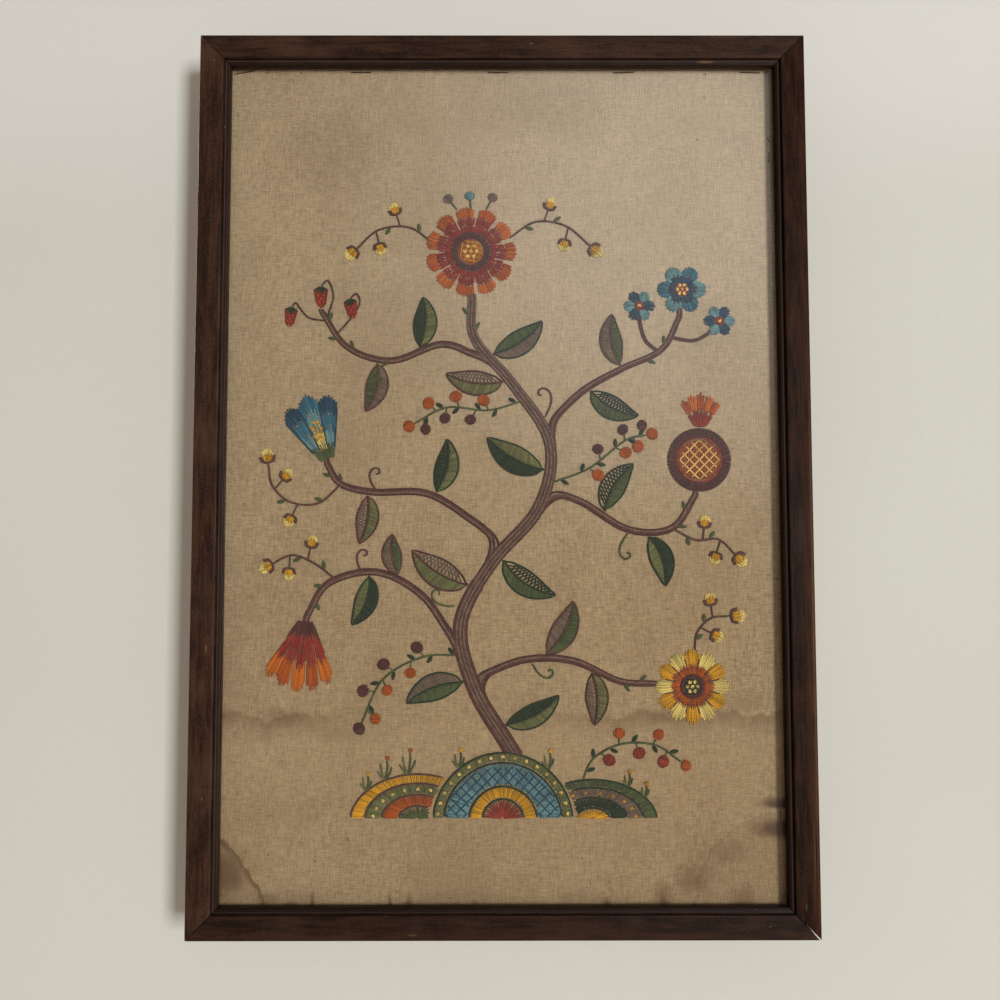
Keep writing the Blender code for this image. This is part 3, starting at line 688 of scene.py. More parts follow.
# Columns: middle, half width, height
HILLOCKS = {
    "left": (-0.06, 0.048, 0.031), "right": (0.063, 0.046, 0.027), "middle": (0.0, 0.05, 0.046),
}
# Columns: slot, wool of the edges, row of knots (size, wool, count), bands (from and to size, wool)
HILL_WORK = {
    "left": ("wool_gold", "mauve_brown", (0.66, "pale_yellow", 11),
             ((1.0, 0.8, "gold"), (0.775, 0.55, "sage"), (0.525, 0.3, "burnt_orange"), (0.275, 0.02, "leaf_green"))),
    "right": ("wool_green", "dark_green", (0.66, "gold", 10),
              ((1.0, 0.8, "leaf_green"), (0.775, 0.55, "taupe"), (0.525, 0.28, "dark_green"), (0.255, 0.02, "gold"))),
    "middle": ("wool_sage", "dark_green", (0.925, "knot_gold", 17),
               ((1.0, 0.855, "sage"), (0.83, 0.5, "light_teal"), (0.475, 0.31, "gold"), (0.285, 0.02, "rust_red"))),
}


def hill_curve(hill, turn, size):
    middle, half_width, height = HILLOCKS[hill]
    return np.array([middle - half_width * size * math.cos(turn) * 0.99,
                     HILL_BASE + 0.0006 + height * size * max(math.sin(turn), 0.0) ** 1.1])


def outside_middle(place, clear=0.0012, size=1.0):
    middle, half_width, height = HILLOCKS["middle"]
    inside = 1 - ((place[0] - middle) / (half_width * size + clear)) ** 2
    return inside <= 0 or place[1] > HILL_BASE + (height * size + clear) * inside ** 0.55


def in_trellis(place):
    return (place[1] > HILL_BASE + 0.001 and outside_middle(place, 0.0, 0.505)
            and not outside_middle(place, 0.0, 0.82))


for hill, (slot, edge_wool, (knot_size, knot_wool, knot_count), bands) in HILL_WORK.items():
    keep = None if hill == "middle" else outside_middle

    def hill_surface(share, depth):
        return hill_curve(hill, 0.02 + share * (math.pi - 0.04), 1 - depth)

    for size_from, size_to, wool in bands:
        fill(hill_surface, 1 - size_from, 1 - size_to, wool, jag=0.05, keep=keep)
        rim = [hill_curve(hill, t, size_from + 0.005 if size_from < 1 else 0.985)
               for t in np.linspace(0.03, math.pi - 0.03, 60)]
        stem_row(rim, edge_wool, 0.0012, 0.00135, keep=keep)
    for turn in np.linspace(0.1, math.pi - 0.1, knot_count):
        place = hill_curve(hill, turn, knot_size)
        if keep is None or keep(place):
            knot(place, knot_wool, 0.0027, 0.0016, 0.0012)
    if hill == "middle":
        lattice(in_trellis, (0.0, HILL_BASE), 0.07, 0.0052, 45.0, "dark_blue")
    sew(f"stitched_hillock_{hill}", slot, f"hillock_{hill}")


# Trunk and branches: tapered stems in close rows of stem stitch, eight rows wide at the foot of the
# trunk and fewer towards each tip, darker at the edges and paler along the middle.
# Columns: where it leaves the trunk (share of its length, side), route, width at foot and at tip, and
# where its rows run on to past the tip, to meet what it carries
STEMS = {
    "trunk": (None, ((0.004, -0.19), (-0.02, -0.15), (-0.03, -0.105), (-0.008, -0.062), (0.026, -0.022),
                     (0.034, 0.024), (0.008, 0.066), (-0.02, 0.1), (-0.022, 0.128)), 0.011, 0.0056, (-0.0221, 0.133)),
    "branch_bell": ((0.235, 1), ((-0.058, -0.084), (-0.09, -0.068), (-0.124, -0.076), (-0.139, -0.099)),
                    0.0056, 0.0038, (-0.1402, -0.104)),
    "branch_tulip": ((0.41, 1), ((-0.022, -0.031), (-0.054, -0.012), (-0.092, -0.011), (-0.116, -0.005),
                                 (-0.126, 0.01)), 0.0056, 0.0038, (-0.1258, 0.013)),
    "branch_daisy": ((0.145, -1), ((0.016, -0.13), (0.05, -0.131), (0.082, -0.145), (0.1065, -0.147)),
                     0.0054, 0.0036, (0.1092, -0.1474)),
    "branch_pomegranate": ((0.535, -1), ((0.058, -0.019), (0.09, -0.038), (0.121, -0.037), (0.138, -0.0135)),
                           0.0054, 0.0038, (0.1388, -0.0108)),
    "branch_aster": ((0.655, -1), ((0.058, 0.062), (0.086, 0.078), (0.115, 0.092), (0.128, 0.1155)),
                     0.005, 0.0032, (0.1287, 0.1228)),
    "branch_strawberry": ((0.845, 1), ((-0.044, 0.096), (-0.08, 0.084), (-0.112, 0.094), (-0.131, 0.1205)),
                          0.005, 0.0032, (-0.1311, 0.1222)),
}


def smooth_route(points, steps=7):
    """A smooth curve through the given points."""
    known = [np.array(p) for p in points]
    known = [2 * known[0] - known[1]] + known + [2 * known[-1] - known[-2]]
    route = []
    for before, here, after, beyond in zip(known, known[1:], known[2:], known[3:]):
        for t in np.arange(steps) / steps:
            route.append(here + 0.5 * t * (after - before) + t * t * (before - 2.5 * here + 2 * after - 0.5 * beyond)
                         + t ** 3 * (1.5 * (here - after) + 0.5 * (beyond - before)))
    return np.array(route + [known[-2]])


def stem_lines(name):
    leaves_at, points, foot_width, tip_width, _ = STEMS[name]
    if leaves_at:
        points = (edge_place("trunk", *leaves_at, foot_width / 3 + 0.0006), *points)
    route = smooth_route(points)
    return route, np.linspace(foot_width, tip_width, len(route)) / 2


def edge_place(stem, place, side, clear):
    route, half = stem_lines(stem)
    at = round(place * (len(route) - 1))
    return route[at] + side * side_ways(route)[at] * (half[at] + clear)


# A branch's rows swing out of the trunk over the join's length, each lower row from further down it
JOIN_LENGTH = 0.0095
TRUNK_STEP = 0.0064
trunk_line, trunk_half = stem_lines("trunk")
trunk_foot = trunk_line[0] + unit(trunk_line[0] - trunk_line[1]) * 0.01

for name, (leaves_at, *_, past_tip) in STEMS.items():
    route, half = stem_lines(name)
    shares = np.linspace(0, 1, 110)
    below = [trunk_foot] if name == "trunk" else []
    fine = spread([*below, *route, past_tip], shares)
    fine_half = np.interp(shares, np.linspace(0, 1, len(half)), half)
    rows = max(2, round(2 * half[0] / ROW_PITCH))
    for row in range(rows):
        offset = (row - (rows - 1) / 2) * ROW_PITCH
        # An outer row is drawn in as the stem narrows, and ends once it lies on its neighbour
        drawn_in = np.clip(offset, 0.0004 - fine_half, fine_half - 0.0004)
        fits = np.nonzero(abs(offset - drawn_in) < ROW_PITCH * (0.95 if row % 2 else 0.7))[0]
        last = fits[-1] + 1
        lane = fine[:last] + side_ways(fine)[:last] * drawn_in[:last, None]
        if leaves_at:
            place, side = leaves_at
            lower = side * offset / ROW_PITCH + (rows - 1) / 2
            at = place * (len(trunk_line) - 1) - (0.003 + 0.004 * lower) / TRUNK_STEP
            near, part = int(at), at - int(at)
            meets = trunk_line[near] * (1 - part) + trunk_line[near + 1] * part
            meets = meets + side * side_ways(trunk_line)[near] * (trunk_half[near] - 0.0004)
            along = trunk_line[near + 1] - trunk_line[near]
            lane = lane[int(np.searchsorted(run_of(lane)[1:], JOIN_LENGTH)):]
            gap = np.linalg.norm(lane[0] - meets)
            start, end = unit(along) * gap, unit(lane[1] - lane[0]) * gap
            t = np.linspace(0, 1, 11)[:-1, None]
            joining = ((2 * t ** 3 - 3 * t ** 2 + 1) * meets + (t ** 3 - 2 * t ** 2 + t) * start
                       + (3 * t ** 2 - 2 * t ** 3) * lane[0] + (t ** 3 - t ** 2) * end)
            lane = np.concatenate([joining, lane])
        from_edge = min(row, rows - 1 - row)
        wool = "plum" if from_edge == 0 else "mauve_brown" if from_edge == 1 and rows > 4 or row % 2 else "taupe"
        stem_row(lane, wool, width=0.00142, top=0.00125 + 0.00008 * from_edge,
                 keep=lambda place: outside_middle(place, -0.0012))
    sew(f"stitched_{name}", "wool_brown", name)


# Leaves: nineteen, each split along its rib. One half is close satin stitch, the other satin in a
# second colour or an open herringbone with the linen showing, and a row of stem stitch runs round.
# Columns: stem, place along it, side, heading in degrees, length, width, bend
LEAVES = (
    ("trunk", 0.325, 1, 148, 0.047, 0.021, 0.004), ("trunk", 0.14, 1, 200, 0.043, 0.019, -0.004),
    ("trunk", 0.04, -1, 28, 0.043, 0.016, -0.004), ("trunk", 0.4, -1, -34, 0.045, 0.018, -0.005),
    ("trunk", 0.57, 1, 150, 0.047, 0.02, 0.004), ("trunk", 0.76, 1, 172, 0.042, 0.018, 0.004),
    ("trunk", 0.83, -1, 34, 0.043, 0.018, -0.004), ("branch_bell", 0.52, 1, 250, 0.037, 0.016, 0.004),
    ("branch_bell", 0.4, -1, 98, 0.029, 0.014, 0.003), ("branch_tulip", 0.36, -1, 78, 0.039, 0.017, -0.004),
    ("branch_tulip", 0.62, 1, -100, 0.035, 0.016, 0.003), ("branch_daisy", 0.36, 1, 62, 0.042, 0.018, -0.004),
    ("branch_daisy", 0.6, -1, -88, 0.037, 0.016, 0.003),
    ("branch_pomegranate", 0.34, 1, 58, 0.04, 0.018, 0.004),
    ("branch_pomegranate", 0.6, -1, -72, 0.037, 0.017, 0.004),
    ("branch_aster", 0.3, -1, -28, 0.039, 0.017, -0.004), ("branch_aster", 0.5, 1, 98, 0.038, 0.016, 0.004),
    ("branch_strawberry", 0.34, -1, 86, 0.037, 0.017, -0.003),
    ("branch_strawberry", 0.56, 1, -104, 0.036, 0.016, 0.004),
)
GREEN_LEAVES = (2, 5, 7, 9, 10, 13, 15, 16, 19)
# Columns: wool of the left half, of the right half, of the outline, open half (1 left, -1 right, 0 none)
LEAF_WORK = (
    ("leaf_green", "taupe", "dark_green", 0), ("dark_green", "sage", "dark_green", 0),
    ("sage", "taupe", "plum", -1), ("dark_green", "leaf_green", "dark_green", 1),
    ("taupe", "leaf_green", "mauve_brown", 0),
)


def leaf_surface(leaf, side):
    """A leaf half as a surface: share runs along the rib, depth from the rib to the edge."""
    stem, place, stem_side, heading, length, width, bend = leaf
    foot = edge_place(stem, place, stem_side, 0.0006)
    axis, across = axes(heading)

    def surface(share, depth):
        t = min(share + 0.1 * depth * (1 - share), 1.0)
        half = width / 2 * max(math.sin(math.pi * t ** 0.9), 0.0) ** 0.85
        rib = foot + t * length * axis + bend * 4 * t * (1 - t) * across
        ahead = unit(length * axis + bend * 4 * (1 - 2 * t) * across)
        return rib + side * depth * half * np.array([-ahead[1], ahead[0]])

    return surface


for number, leaf in enumerate(LEAVES, 1):
    left_wool, right_wool, edge_wool, open_side = LEAF_WORK[(number * 2 + (number in GREEN_LEAVES)) % 5]
    for side, wool in ((1, left_wool), (-1, right_wool)):
        half_leaf = leaf_surface(leaf, side)
        if side == open_side:
            for share in np.arange(0.1, 0.86, 0.065):
                stitch([half_leaf(share, 0.08), half_leaf(share + 0.1, 0.92)], wool, 0.001, 0.0009)
                stitch([half_leaf(share + 0.1, 0.08), half_leaf(share, 0.92)], wool, 0.001, 0.0012)
        else:
            fill(half_leaf, 0.04, 0.94, wool)
        rim = [half_leaf(0, d) for d in (0.0, 0.35, 0.7)] + [half_leaf(t, 0.97) for t in np.linspace(0.0, 1.0, 40)]
        stem_row(rim, edge_wool, 0.00115, 0.0012, 0.0052)
    stem_row([half_leaf(t, 0.0) for t in np.linspace(0.0, 0.97, 30)], edge_wool, 0.0012, 0.0015, 0.0052)
    sew(f"stitched_leaf_{number}", "wool_green" if number in GREEN_LEAVES else "wool_sage", f"leaf_{number}")


# Round flower heads: rosette, daisy, pomegranate and three asters. Petals are long and short stitch
# in shades that run into one another, round a satin ring and a middle of trellis or French knots.
# Columns: middle, radius at the petals' tips and between them, petals
ROUND_FLOWERS = {
    "rosette": ((-0.023, 0.164), 0.0335, 0.0285, 11), "daisy": ((0.134, -0.149), 0.0265, 0.0215, 12),
    "pomegranate": ((0.141, 0.012), 0.0235, 0.0235, 0), "aster_large": ((0.13, 0.136), 0.0185, 0.011, 6),
    "aster_left": ((0.099, 0.124), 0.012, 0.0075, 6), "aster_right": ((0.157, 0.113), 0.012, 0.0075, 6),
}
FIELD_KNOT = 0.003


def flower_surface(name, inner):
    """A round head as a surface: share runs round it, depth from the inner radius to the edge."""
    middle, tip, notch, petals = ROUND_FLOWERS[name]

    def surface(share, depth):
        turn = 2 * math.pi * share
        edge = notch + (tip - notch) * (abs(math.cos(turn * petals / 2)) ** 0.6 if petals else 1.0)
        return out_from(middle, inner + (edge - inner) * depth, turn)

    return surface


def petal_wool(petals, first, second):
    """Alternate petals in two wools. A petal is centred on share 0."""
    return lambda share: first if round(share * petals) % 2 else second


def between_petals(petals, gap, shift=0.0):
    """True at the linen left showing between one petal and the next."""
    return lambda share: abs((share * petals + shift) % 1.0 - 0.5) < gap


def petal_gaps(name, inner, wool, near, far=0.93):
    """A row of stem stitch between each petal and the next."""
    petals = ROUND_FLOWERS[name][3]
    surface = flower_surface(name, inner)
    for k in range(petals):
        share = (k + 0.5) / petals
        stem_row([surface(share, d) for d in np.linspace(near, far, 8)], wool, 0.001, 0.0014, 0.0045)


def ring_of(middle, inner, outer):
    return lambda share, depth: out_from(middle, inner + (outer - inner) * depth, 2 * math.pi * share)


def in_round(middle, radius):
    return lambda place: math.dist(place, middle) < radius


def satin_round(middle, radius, wool, heading, top=SATIN_TOP):
    """A round filled with parallel satin stitches, a little domed."""
    axis, across = axes(heading)
    count = max(3, round(2 * radius / SATIN_PITCH))
    for k in range(count):
        aside = ((k + 0.5) / count * 2 - 1) * radius
        reach = math.sqrt(max(radius ** 2 - aside ** 2, 0.0))
        if reach > 0.0006:
            stitch([middle + across * aside - axis * reach, middle + across * aside + axis * reach], wool,
                   top=top + 0.0003 * (1 - abs(aside) / radius))


def knot_field(middle, radius, pitch, top=0.0017):
    """A round filled with French knots, set as closely as the pitch says."""
    for row in range(-6, 7):
        for column in range(-6, 7):
            place = (middle[0] + (column + 0.5 * (row % 2)) * pitch, middle[1] + row * pitch * 0.87)
            if math.dist(place, middle) < radius - FIELD_KNOT / 2:
                knot(place, "knot_gold", FIELD_KNOT, top)


middle = ROUND_FLOWERS["rosette"][0]
rosette = flower_surface("rosette", 0.0145)
fill(rosette, 0.0, 0.3, "bright_red", jag=0.35)
fill(rosette, 0.26, 0.62, petal_wool(11, "rust_red", "bright_red"), jag=0.3, open_at=between_petals(11, 0.05))
fill(rosette, 0.58, 0.99, petal_wool(11, "light_orange", "burnt_orange"), jag=0.13,
     open_at=between_petals(11, 0.075))
fill(ring_of(middle, 0.0092, 0.015), 0.0, 1.0, "plum", top=0.0013)
satin_round(middle, 0.0094, "trellis_brown", 35.0)
lattice(in_round(middle, 0.0092), middle, 0.0092 * math.sqrt(2), 0.0034, 80.0, "gold", width=0.0008)
knot_field(middle, 0.009, 0.0044, 0.0018)
sew("stitched_rosette", "wool_orange", "rosette")

middle = ROUND_FLOWERS["daisy"][0]
daisy = flower_surface("daisy", 0.0085)
fill(daisy, 0.0, 0.42, petal_wool(12, "trellis_brown", "burnt_orange"), jag=0.4)
fill(daisy, 0.36, 0.99, petal_wool(12, "gold", "pale_yellow"), jag=0.12)
petal_gaps("daisy", 0.0085, "mauve_brown", 0.2)
fill(ring_of(middle, 0.0058, 0.009), 0.0, 1.0, "plum", top=0.0013)
satin_round(middle, 0.006, "dark_green", 20.0)
knot_field(middle, 0.0064, 0.0036)
sew("stitched_daisy", "wool_gold", "daisy")

middle = ROUND_FLOWERS["pomegranate"][0]
fill(ring_of(middle, 0.016, 0.0232), 0.0, 1.0, "plum", top=0.0012)
stem_row(out_from(middle, 0.0158, np.linspace(0, 2 * math.pi, 60)), "rust_red", 0.0012, 0.0014)
satin_round(middle, 0.0152, "trellis_brown", 90.0)
lattice(in_round(middle, 0.015), middle, 0.015 * math.sqrt(2), 0.005, 45.0, "pale_yellow", "gold", 0.001, 0.0014)
sew("stitched_pomegranate", "wool_rust", "pomegranate")

for name, inner, first, second in (("aster_large", 0.005, "teal", "light_teal"),
                                   ("aster_left", 0.0034, "light_teal", "dark_blue"),
                                   ("aster_right", 0.0034, "dark_blue", "light_teal")):
    middle = ROUND_FLOWERS[name][0]
    head = flower_surface(name, inner)
    if name == "aster_large":
        fill(head, 0.0, 0.5, "dark_blue", jag=0.3)
        fill(head, 0.44, 0.98, petal_wool(6, first, second), jag=0.1)
    else:
        fill(head, 0.0, 0.98, petal_wool(6, first, second), jag=0.05)
    petal_gaps(name, inner, "dark_blue", 0.0, 0.9)
    satin_round(middle, inner + 0.0002, "rust_red", 60.0)
    knot_field(middle, inner + 0.0003, 0.0034)
    sew(f"stitched_{name}", "wool_blue", name)


# Fan-shaped heads: a hanging bell, a tulip, the pomegranate's crown and three strawberries. Petals
# spread from a narrow foot in long and short stitch, with jagged joins between the shades.
# Columns: foot, heading and half spread in degrees, length, petals, foot width
FANS = {
    "bell_flower": ((-0.14, -0.1035), -97.0, 36.0, 0.05, 5, 0.01),
    "tulip": ((-0.1255, 0.0125), 110.0, 30.0, 0.05, 3, 0.01),
    "pomegranate_crown": ((0.142, 0.0375), 88.0, 48.0, 0.023, 5, 0.01),
    "strawberry_1": ((-0.1315, 0.1375), -88.0, 15.0, 0.0155, 1, 0.011),
    "strawberry_2": ((-0.1105, 0.1285), -80.0, 15.0, 0.0145, 1, 0.01),
    "strawberry_3": ((-0.1525, 0.1225), -98.0, 15.0, 0.0145, 1, 0.01),
}


def fan_surface(name):
    """A fan head as a surface: share runs across it, depth from the foot to the rim."""
    foot, heading, spread_by, length, petals, foot_width = FANS[name]
    ahead = math.radians(heading)
    across = np.array([-math.sin(ahead), math.cos(ahead)])

    def surface(share, depth):
        turn = ahead + math.radians(spread_by) * (2 * share - 1)
        scallop = abs(math.sin(math.pi * petals * share))
        reach = length * (1 - 0.12 * (1 - scallop) - 0.1 * abs(2 * share - 1))
        near = foot + across * foot_width / 2 * (2 * share - 1)
        return near + (out_from(foot, reach, turn) - near) * depth

    return surface


def fan_petal(petals, *kinds):
    return lambda share: kinds[int(min(share, 0.999) * petals) % len(kinds)]


bell = fan_surface("bell_flower")
fill(bell, 0.2, 0.42, fan_petal(5, "rust_red", "bright_red"), jag=0.4)
fill(bell, 0.39, 0.66, fan_petal(5, "bright_red", "rust_red"), jag=0.35, open_at=between_petals(5, 0.05, 0.5))
fill(bell, 0.62, 0.99, fan_petal(5, "light_orange", "burnt_orange"), jag=0.16,
     open_at=between_petals(5, 0.07, 0.5))
fill(bell, 0.0, 0.23, "plum", jag=0.3, top=0.0013)
for edge in (0.005, 0.995):
    stem_row([bell(edge, d) for d in np.linspace(-0.02, 0.36, 8)], "plum", 0.0013, 0.0013, 0.005)
stem_row([bell(share, 0.0) for share in np.linspace(0.0, 1.0, 8)], "plum", 0.0013, 0.0014, 0.004)
sew("stitched_bell_flower", "wool_orange", "bell_flower")

tulip = fan_surface("tulip")
fill(tulip, 0.2, 0.5, fan_petal(3, "light_teal", "pale_yellow", "light_teal"), jag=0.4)
fill(tulip, 0.46, 0.76, fan_petal(3, "teal", "light_teal", "teal"), jag=0.4)
fill(tulip, 0.73, 0.99, fan_petal(3, "dark_blue", "teal", "dark_blue"), jag=0.14)
fill(tulip, 0.0, 0.22, "leaf_green", jag=0.3, top=0.0013)
for edge in (0.01, 1 / 3, 2 / 3, 0.99):
    stem_row([tulip(edge, d) for d in np.linspace(0.18, 0.98, 14)], "dark_blue", 0.0012, 0.0014, 0.005)
for depth in (0.34, 0.42, 0.5, 0.58):
    for share in (0.4, 0.5, 0.6):
        place = tulip(share + (0.05 if depth in (0.42, 0.58) else 0.0) - 0.02, depth)
        knot(place, "gold", 0.0028, 0.0016, 0.0012)
sew("stitched_tulip", "wool_blue", "tulip")

crown = fan_surface("pomegranate_crown")
fill(crown, -0.1, 0.5, fan_petal(5, "rust_red", "bright_red"), jag=0.25)
fill(crown, 0.45, 0.99, fan_petal(5, "burnt_orange", "light_orange"), jag=0.14,
     open_at=between_petals(5, 0.08, 0.5))
sew("stitched_pomegranate_crown", "wool_orange", "pomegranate_crown")

for name in ("strawberry_1", "strawberry_2", "strawberry_3"):
    berry = fan_surface(name)
    foot, heading = FANS[name][0], math.radians(FANS[name][1])
    fill(berry, 0.06, 0.99, "bright_red", jag=0.04, top=0.0012)
    for share, depth in ((0.3, 0.35), (0.7, 0.35), (0.5, 0.5), (0.32, 0.68), (0.68, 0.68), (0.5, 0.84)):
        stitch([berry(share, depth), berry(share, depth + 0.09)], "pale_yellow", 0.0009, 0.0015)
    for turn in (-1.15, -0.55, 0.0, 0.55, 1.15):
        stitch([out_from(foot, -0.0006, heading), out_from(foot, 0.0052, heading + turn)], "dark_green", 0.0016, 0.0016)
    sew(f"stitched_{name}", "wool_rust", name)


# Sprigs: the light work between the large forms. Stalks and curled tendrils in one or two rows of
# stem stitch, berries in padded satin, cup-shaped buds, and looped leaves and grass.
BERRY_TOP = 0.0013


def bud(foot, heading, size=1.0):
    """A gold bud, paler at its tip, held in a brown cup."""
    axis, across = axes(heading)

    def surface(share, depth):
        aside = (2 * share - 1) * (0.0036 + 0.0022 * depth - 0.0026 * depth ** 3) * size
        reach = (0.0012 + 0.01 * depth * (1 - 0.22 * abs(2 * share - 1))) * size
        return foot + across * aside + axis * reach

    fill(surface, 0.0, 0.58, "gold", jag=0.3)
    fill(surface, 0.52, 1.0, "pale_yellow", jag=0.15)
    for side in (-1, 1):
        cup = [foot, foot + (across * side * 0.004 + axis * 0.0008) * size,
               foot + (across * side * 0.0056 + axis * 0.0052) * size]
        for inset in (0.0, 0.001):
            stitch([p - across * side * inset for p in cup], "mauve_brown", 0.0015, 0.0014)


def leaflets(route, wool, places, length):
    """Small pointed leaves of three stitches at the given shares of a stalk, on either side in turn."""
    side = side_ways(route)
    for k, place in enumerate(places):
        at = int(place * (len(route) - 1))
        way = 1 if k % 2 else -1
        heading = math.atan2(*(side[at] * way)[::-1]) - 0.75 * way
        axis, across = axes(math.degrees(heading))
        foot = route[at] + side[at] * way * 0.0006
        for aside in (-0.001, 0.0, 0.001):
            stitch([foot, foot + axis * length * 0.5 + across * aside, foot + axis * length], wool, 0.0012,
                   0.0011 if aside else 0.0014)


def row_along(points, wool, rows=1, width=0.0013):
    """Stem stitch in one or more rows along a smooth curve through the points."""
    route = smooth_route(points, 10)
    for row in range(rows):
        stem_row(route + side_ways(route) * (row - (rows - 1) / 2) * ROW_PITCH, wool, width, 0.0012, 0.0052)
    return route


for points in (((-0.1265, 0.1165), (-0.1225, 0.131), (-0.1262, 0.1425), (-0.1315, 0.1388)),
               ((-0.1195, 0.1035), (-0.1105, 0.114), (-0.1035, 0.1255), (-0.1055, 0.133), (-0.1103, 0.1298)),
               ((-0.1275, 0.113), (-0.14, 0.1155), (-0.147, 0.123), (-0.1495, 0.1265), (-0.1523, 0.1238)),
               ((0.1125, 0.0905), (0.1035, 0.0985), (0.0995, 0.111), (0.099, 0.118)),
               ((0.1215, 0.101), (0.137, 0.0985), (0.147, 0.1025), (0.1508, 0.106))):
    row_along(points, "mauve_brown", 2 if points[0][0] > 0 else 1)
sew("flower_stalks", "wool_brown")

# Columns: foot, heading in degrees, length, turns, wool. A tendril leaves its foot in a line and winds
# up at its tip.
TENDRILS = (
    ((-0.0335, -0.0925), 178, 0.036, -0.95, "leaf_green"),
    ((0.03, 0.042), 62, 0.04, 0.9, "mauve_brown"),
    ((-0.089, -0.0115), 128, 0.034, -1.0, "mauve_brown"),
    ((0.09, -0.04), -128, 0.036, 1.0, "leaf_green"),
    ((-0.08, 0.083), -160, 0.034, 0.95, "leaf_green"),
    ((0.0205, -0.132), -62, 0.032, 0.95, "leaf_green"),
    ((-0.1, -0.069), 118, 0.032, -1.0, "mauve_brown"),
    ((0.086, 0.08), 150, 0.036, -0.95, "leaf_green"),
)
TENDRIL_POINTS = 60
for foot, heading, length, turns, wool in TENDRILS:
    t = np.linspace(0, 1, TENDRIL_POINTS)
    bearing = math.radians(heading) + 2 * math.pi * turns * t ** 2.2
    steps = out_from((0.0, 0.0), length / (TENDRIL_POINTS - 1) * (1.25 - 0.75 * t), bearing)
    stem_row(foot + np.cumsum(steps, axis=0), wool, 0.0013, 0.0012, 0.0048)
sew("tendrils", "wool_brown")

SPRAYS = (
    (((0.033, -0.005), (0.062, 0.006), (0.088, 0.026), (0.104, 0.03)), ("burnt_orange", "plum")),
    (((-0.0255, -0.127), (-0.056, -0.128), (-0.085, -0.144), (-0.1, -0.175)), ("plum", "burnt_orange")),
    (((0.056, -0.2142), (0.064, -0.199), (0.084, -0.189), (0.108, -0.19), (0.126, -0.202)),
     ("rust_red", "burnt_orange")),
    (((0.018, 0.056), (-0.01, 0.048), (-0.04, 0.05), (-0.064, 0.038)), ("burnt_orange", "plum")),
)
for points, kinds in SPRAYS:
    route = row_along(points, "leaf_green")
    side = side_ways(route)
    places = np.linspace(0.34, 0.98, 3 + round(np.linalg.norm(route[-1] - route[0]) / 0.022))
    for k, share in enumerate(places):
        at = min(int(share * len(route)), len(route) - 1)
        way = 1 if k % 2 else -1
        tip = route[at] + side[at] * way * 0.0075 + route[at] - route[at - 1]
        if share < 0.95:
            stitch([route[at], tip], "leaf_green", 0.0011, 0.001)
        else:
            tip = route[-1] + unit(route[-1] - route[-2]) * 0.0036
        satin_round(tip, 0.004 if k % 2 else 0.0044, kinds[k % 2], 60 + 25 * k, BERRY_TOP)
    leaflets(route, "dark_green", np.linspace(0.12, 0.88, 6), 0.0062)
for stem, places in (("branch_strawberry", (0.72, 0.84, 0.95)), ("branch_daisy", (0.8, 0.9)),
                     ("branch_aster", (0.66, 0.8)), ("branch_bell", (0.8, 0.9)), ("branch_tulip", (0.8, 0.9)),
                     ("branch_pomegranate", (0.82, 0.92)), ("trunk", (0.9, 0.95))):
    leaflets(stem_lines(stem)[0], "leaf_green", places, 0.009 if stem == "trunk" else 0.0072)
sew("berry_sprays", "wool_green")

BUD_SPRAYS = (
    (((-0.05, 0.17), (-0.068, 0.182), (-0.09, 0.18), (-0.106, 0.166)), 1),
    (((0.005, 0.174), (0.024, 0.186), (0.046, 0.183), (0.064, 0.168)), -1),
    (((-0.1165, -0.006), (-0.132, -0.019), (-0.152, -0.018), (-0.165, -0.006), (-0.168, 0.01)), -1),
    (((0.1225, -0.0378), (0.138, -0.0455), (0.154, -0.045), (0.166, -0.056)), -1),
    (((0.136, -0.1235), (0.138, -0.111), (0.148, -0.101), (0.162, -0.0995)), 1),
    (((-0.118, -0.074), (-0.134, -0.062), (-0.15, -0.056), (-0.164, -0.062)), 1),
)
for points, way in BUD_SPRAYS:
    route = row_along(points, "mauve_brown", 1, 0.0014)
    side = side_ways(route)
    last = route[-1] - route[-3]
    bud(route[-1], math.degrees(math.atan2(last[1], last[0])))
    for share, swing in ((0.42, -way), (0.7, way)):
        at = int(share * len(route))
        tip = route[at] + side[at] * swing * 0.0085 + (route[at + 1] - route[at]) * 1.2
        stitch([route[at], tip], "mauve_brown", 0.0013, 0.0011)
        heading = math.degrees(math.atan2(*(tip - route[at])[::-1]))
        bud(tip, heading, 0.88)
    leaflets(route, "leaf_green", (0.2, 0.55), 0.0062)
sew("bud_sprays", "wool_gold")

GRASS = (
    ("left", -0.083, 0.9), ("left", -0.067, 1.0), ("left", -0.096, 0.7), ("right", 0.088, 0.62),
    ("right", 0.1, 0.55), ("middle", -0.031, 0.75), ("middle", 0.032, 0.75),
)
for hill, foot_right, size in GRASS:
    middle, half_width, height = HILLOCKS[hill]
    foot_up = HILL_BASE + height * (1 - ((foot_right - middle) / half_width) ** 2) ** 0.55
    foot = np.array([foot_right, foot_up - 0.0004])
    for lean, length in ((-0.62, 0.01), (-0.25, 0.014), (0.12, 0.016), (0.48, 0.012)):
        tip = out_from(foot, length * size, math.pi / 2 - lean)
        bow = (foot + tip) / 2 + np.array([0.0008 * np.sign(lean), 0.0004])
        row_along((foot, bow, tip), "leaf_green" if lean > 0 else "sage", 1, 0.0012)
    knot(foot + np.array([0.002, 0.0175]) * size, "burnt_orange" if size > 0.8 else "gold", 0.0034, 0.0014)
sew("grass_sprigs", "wool_green")

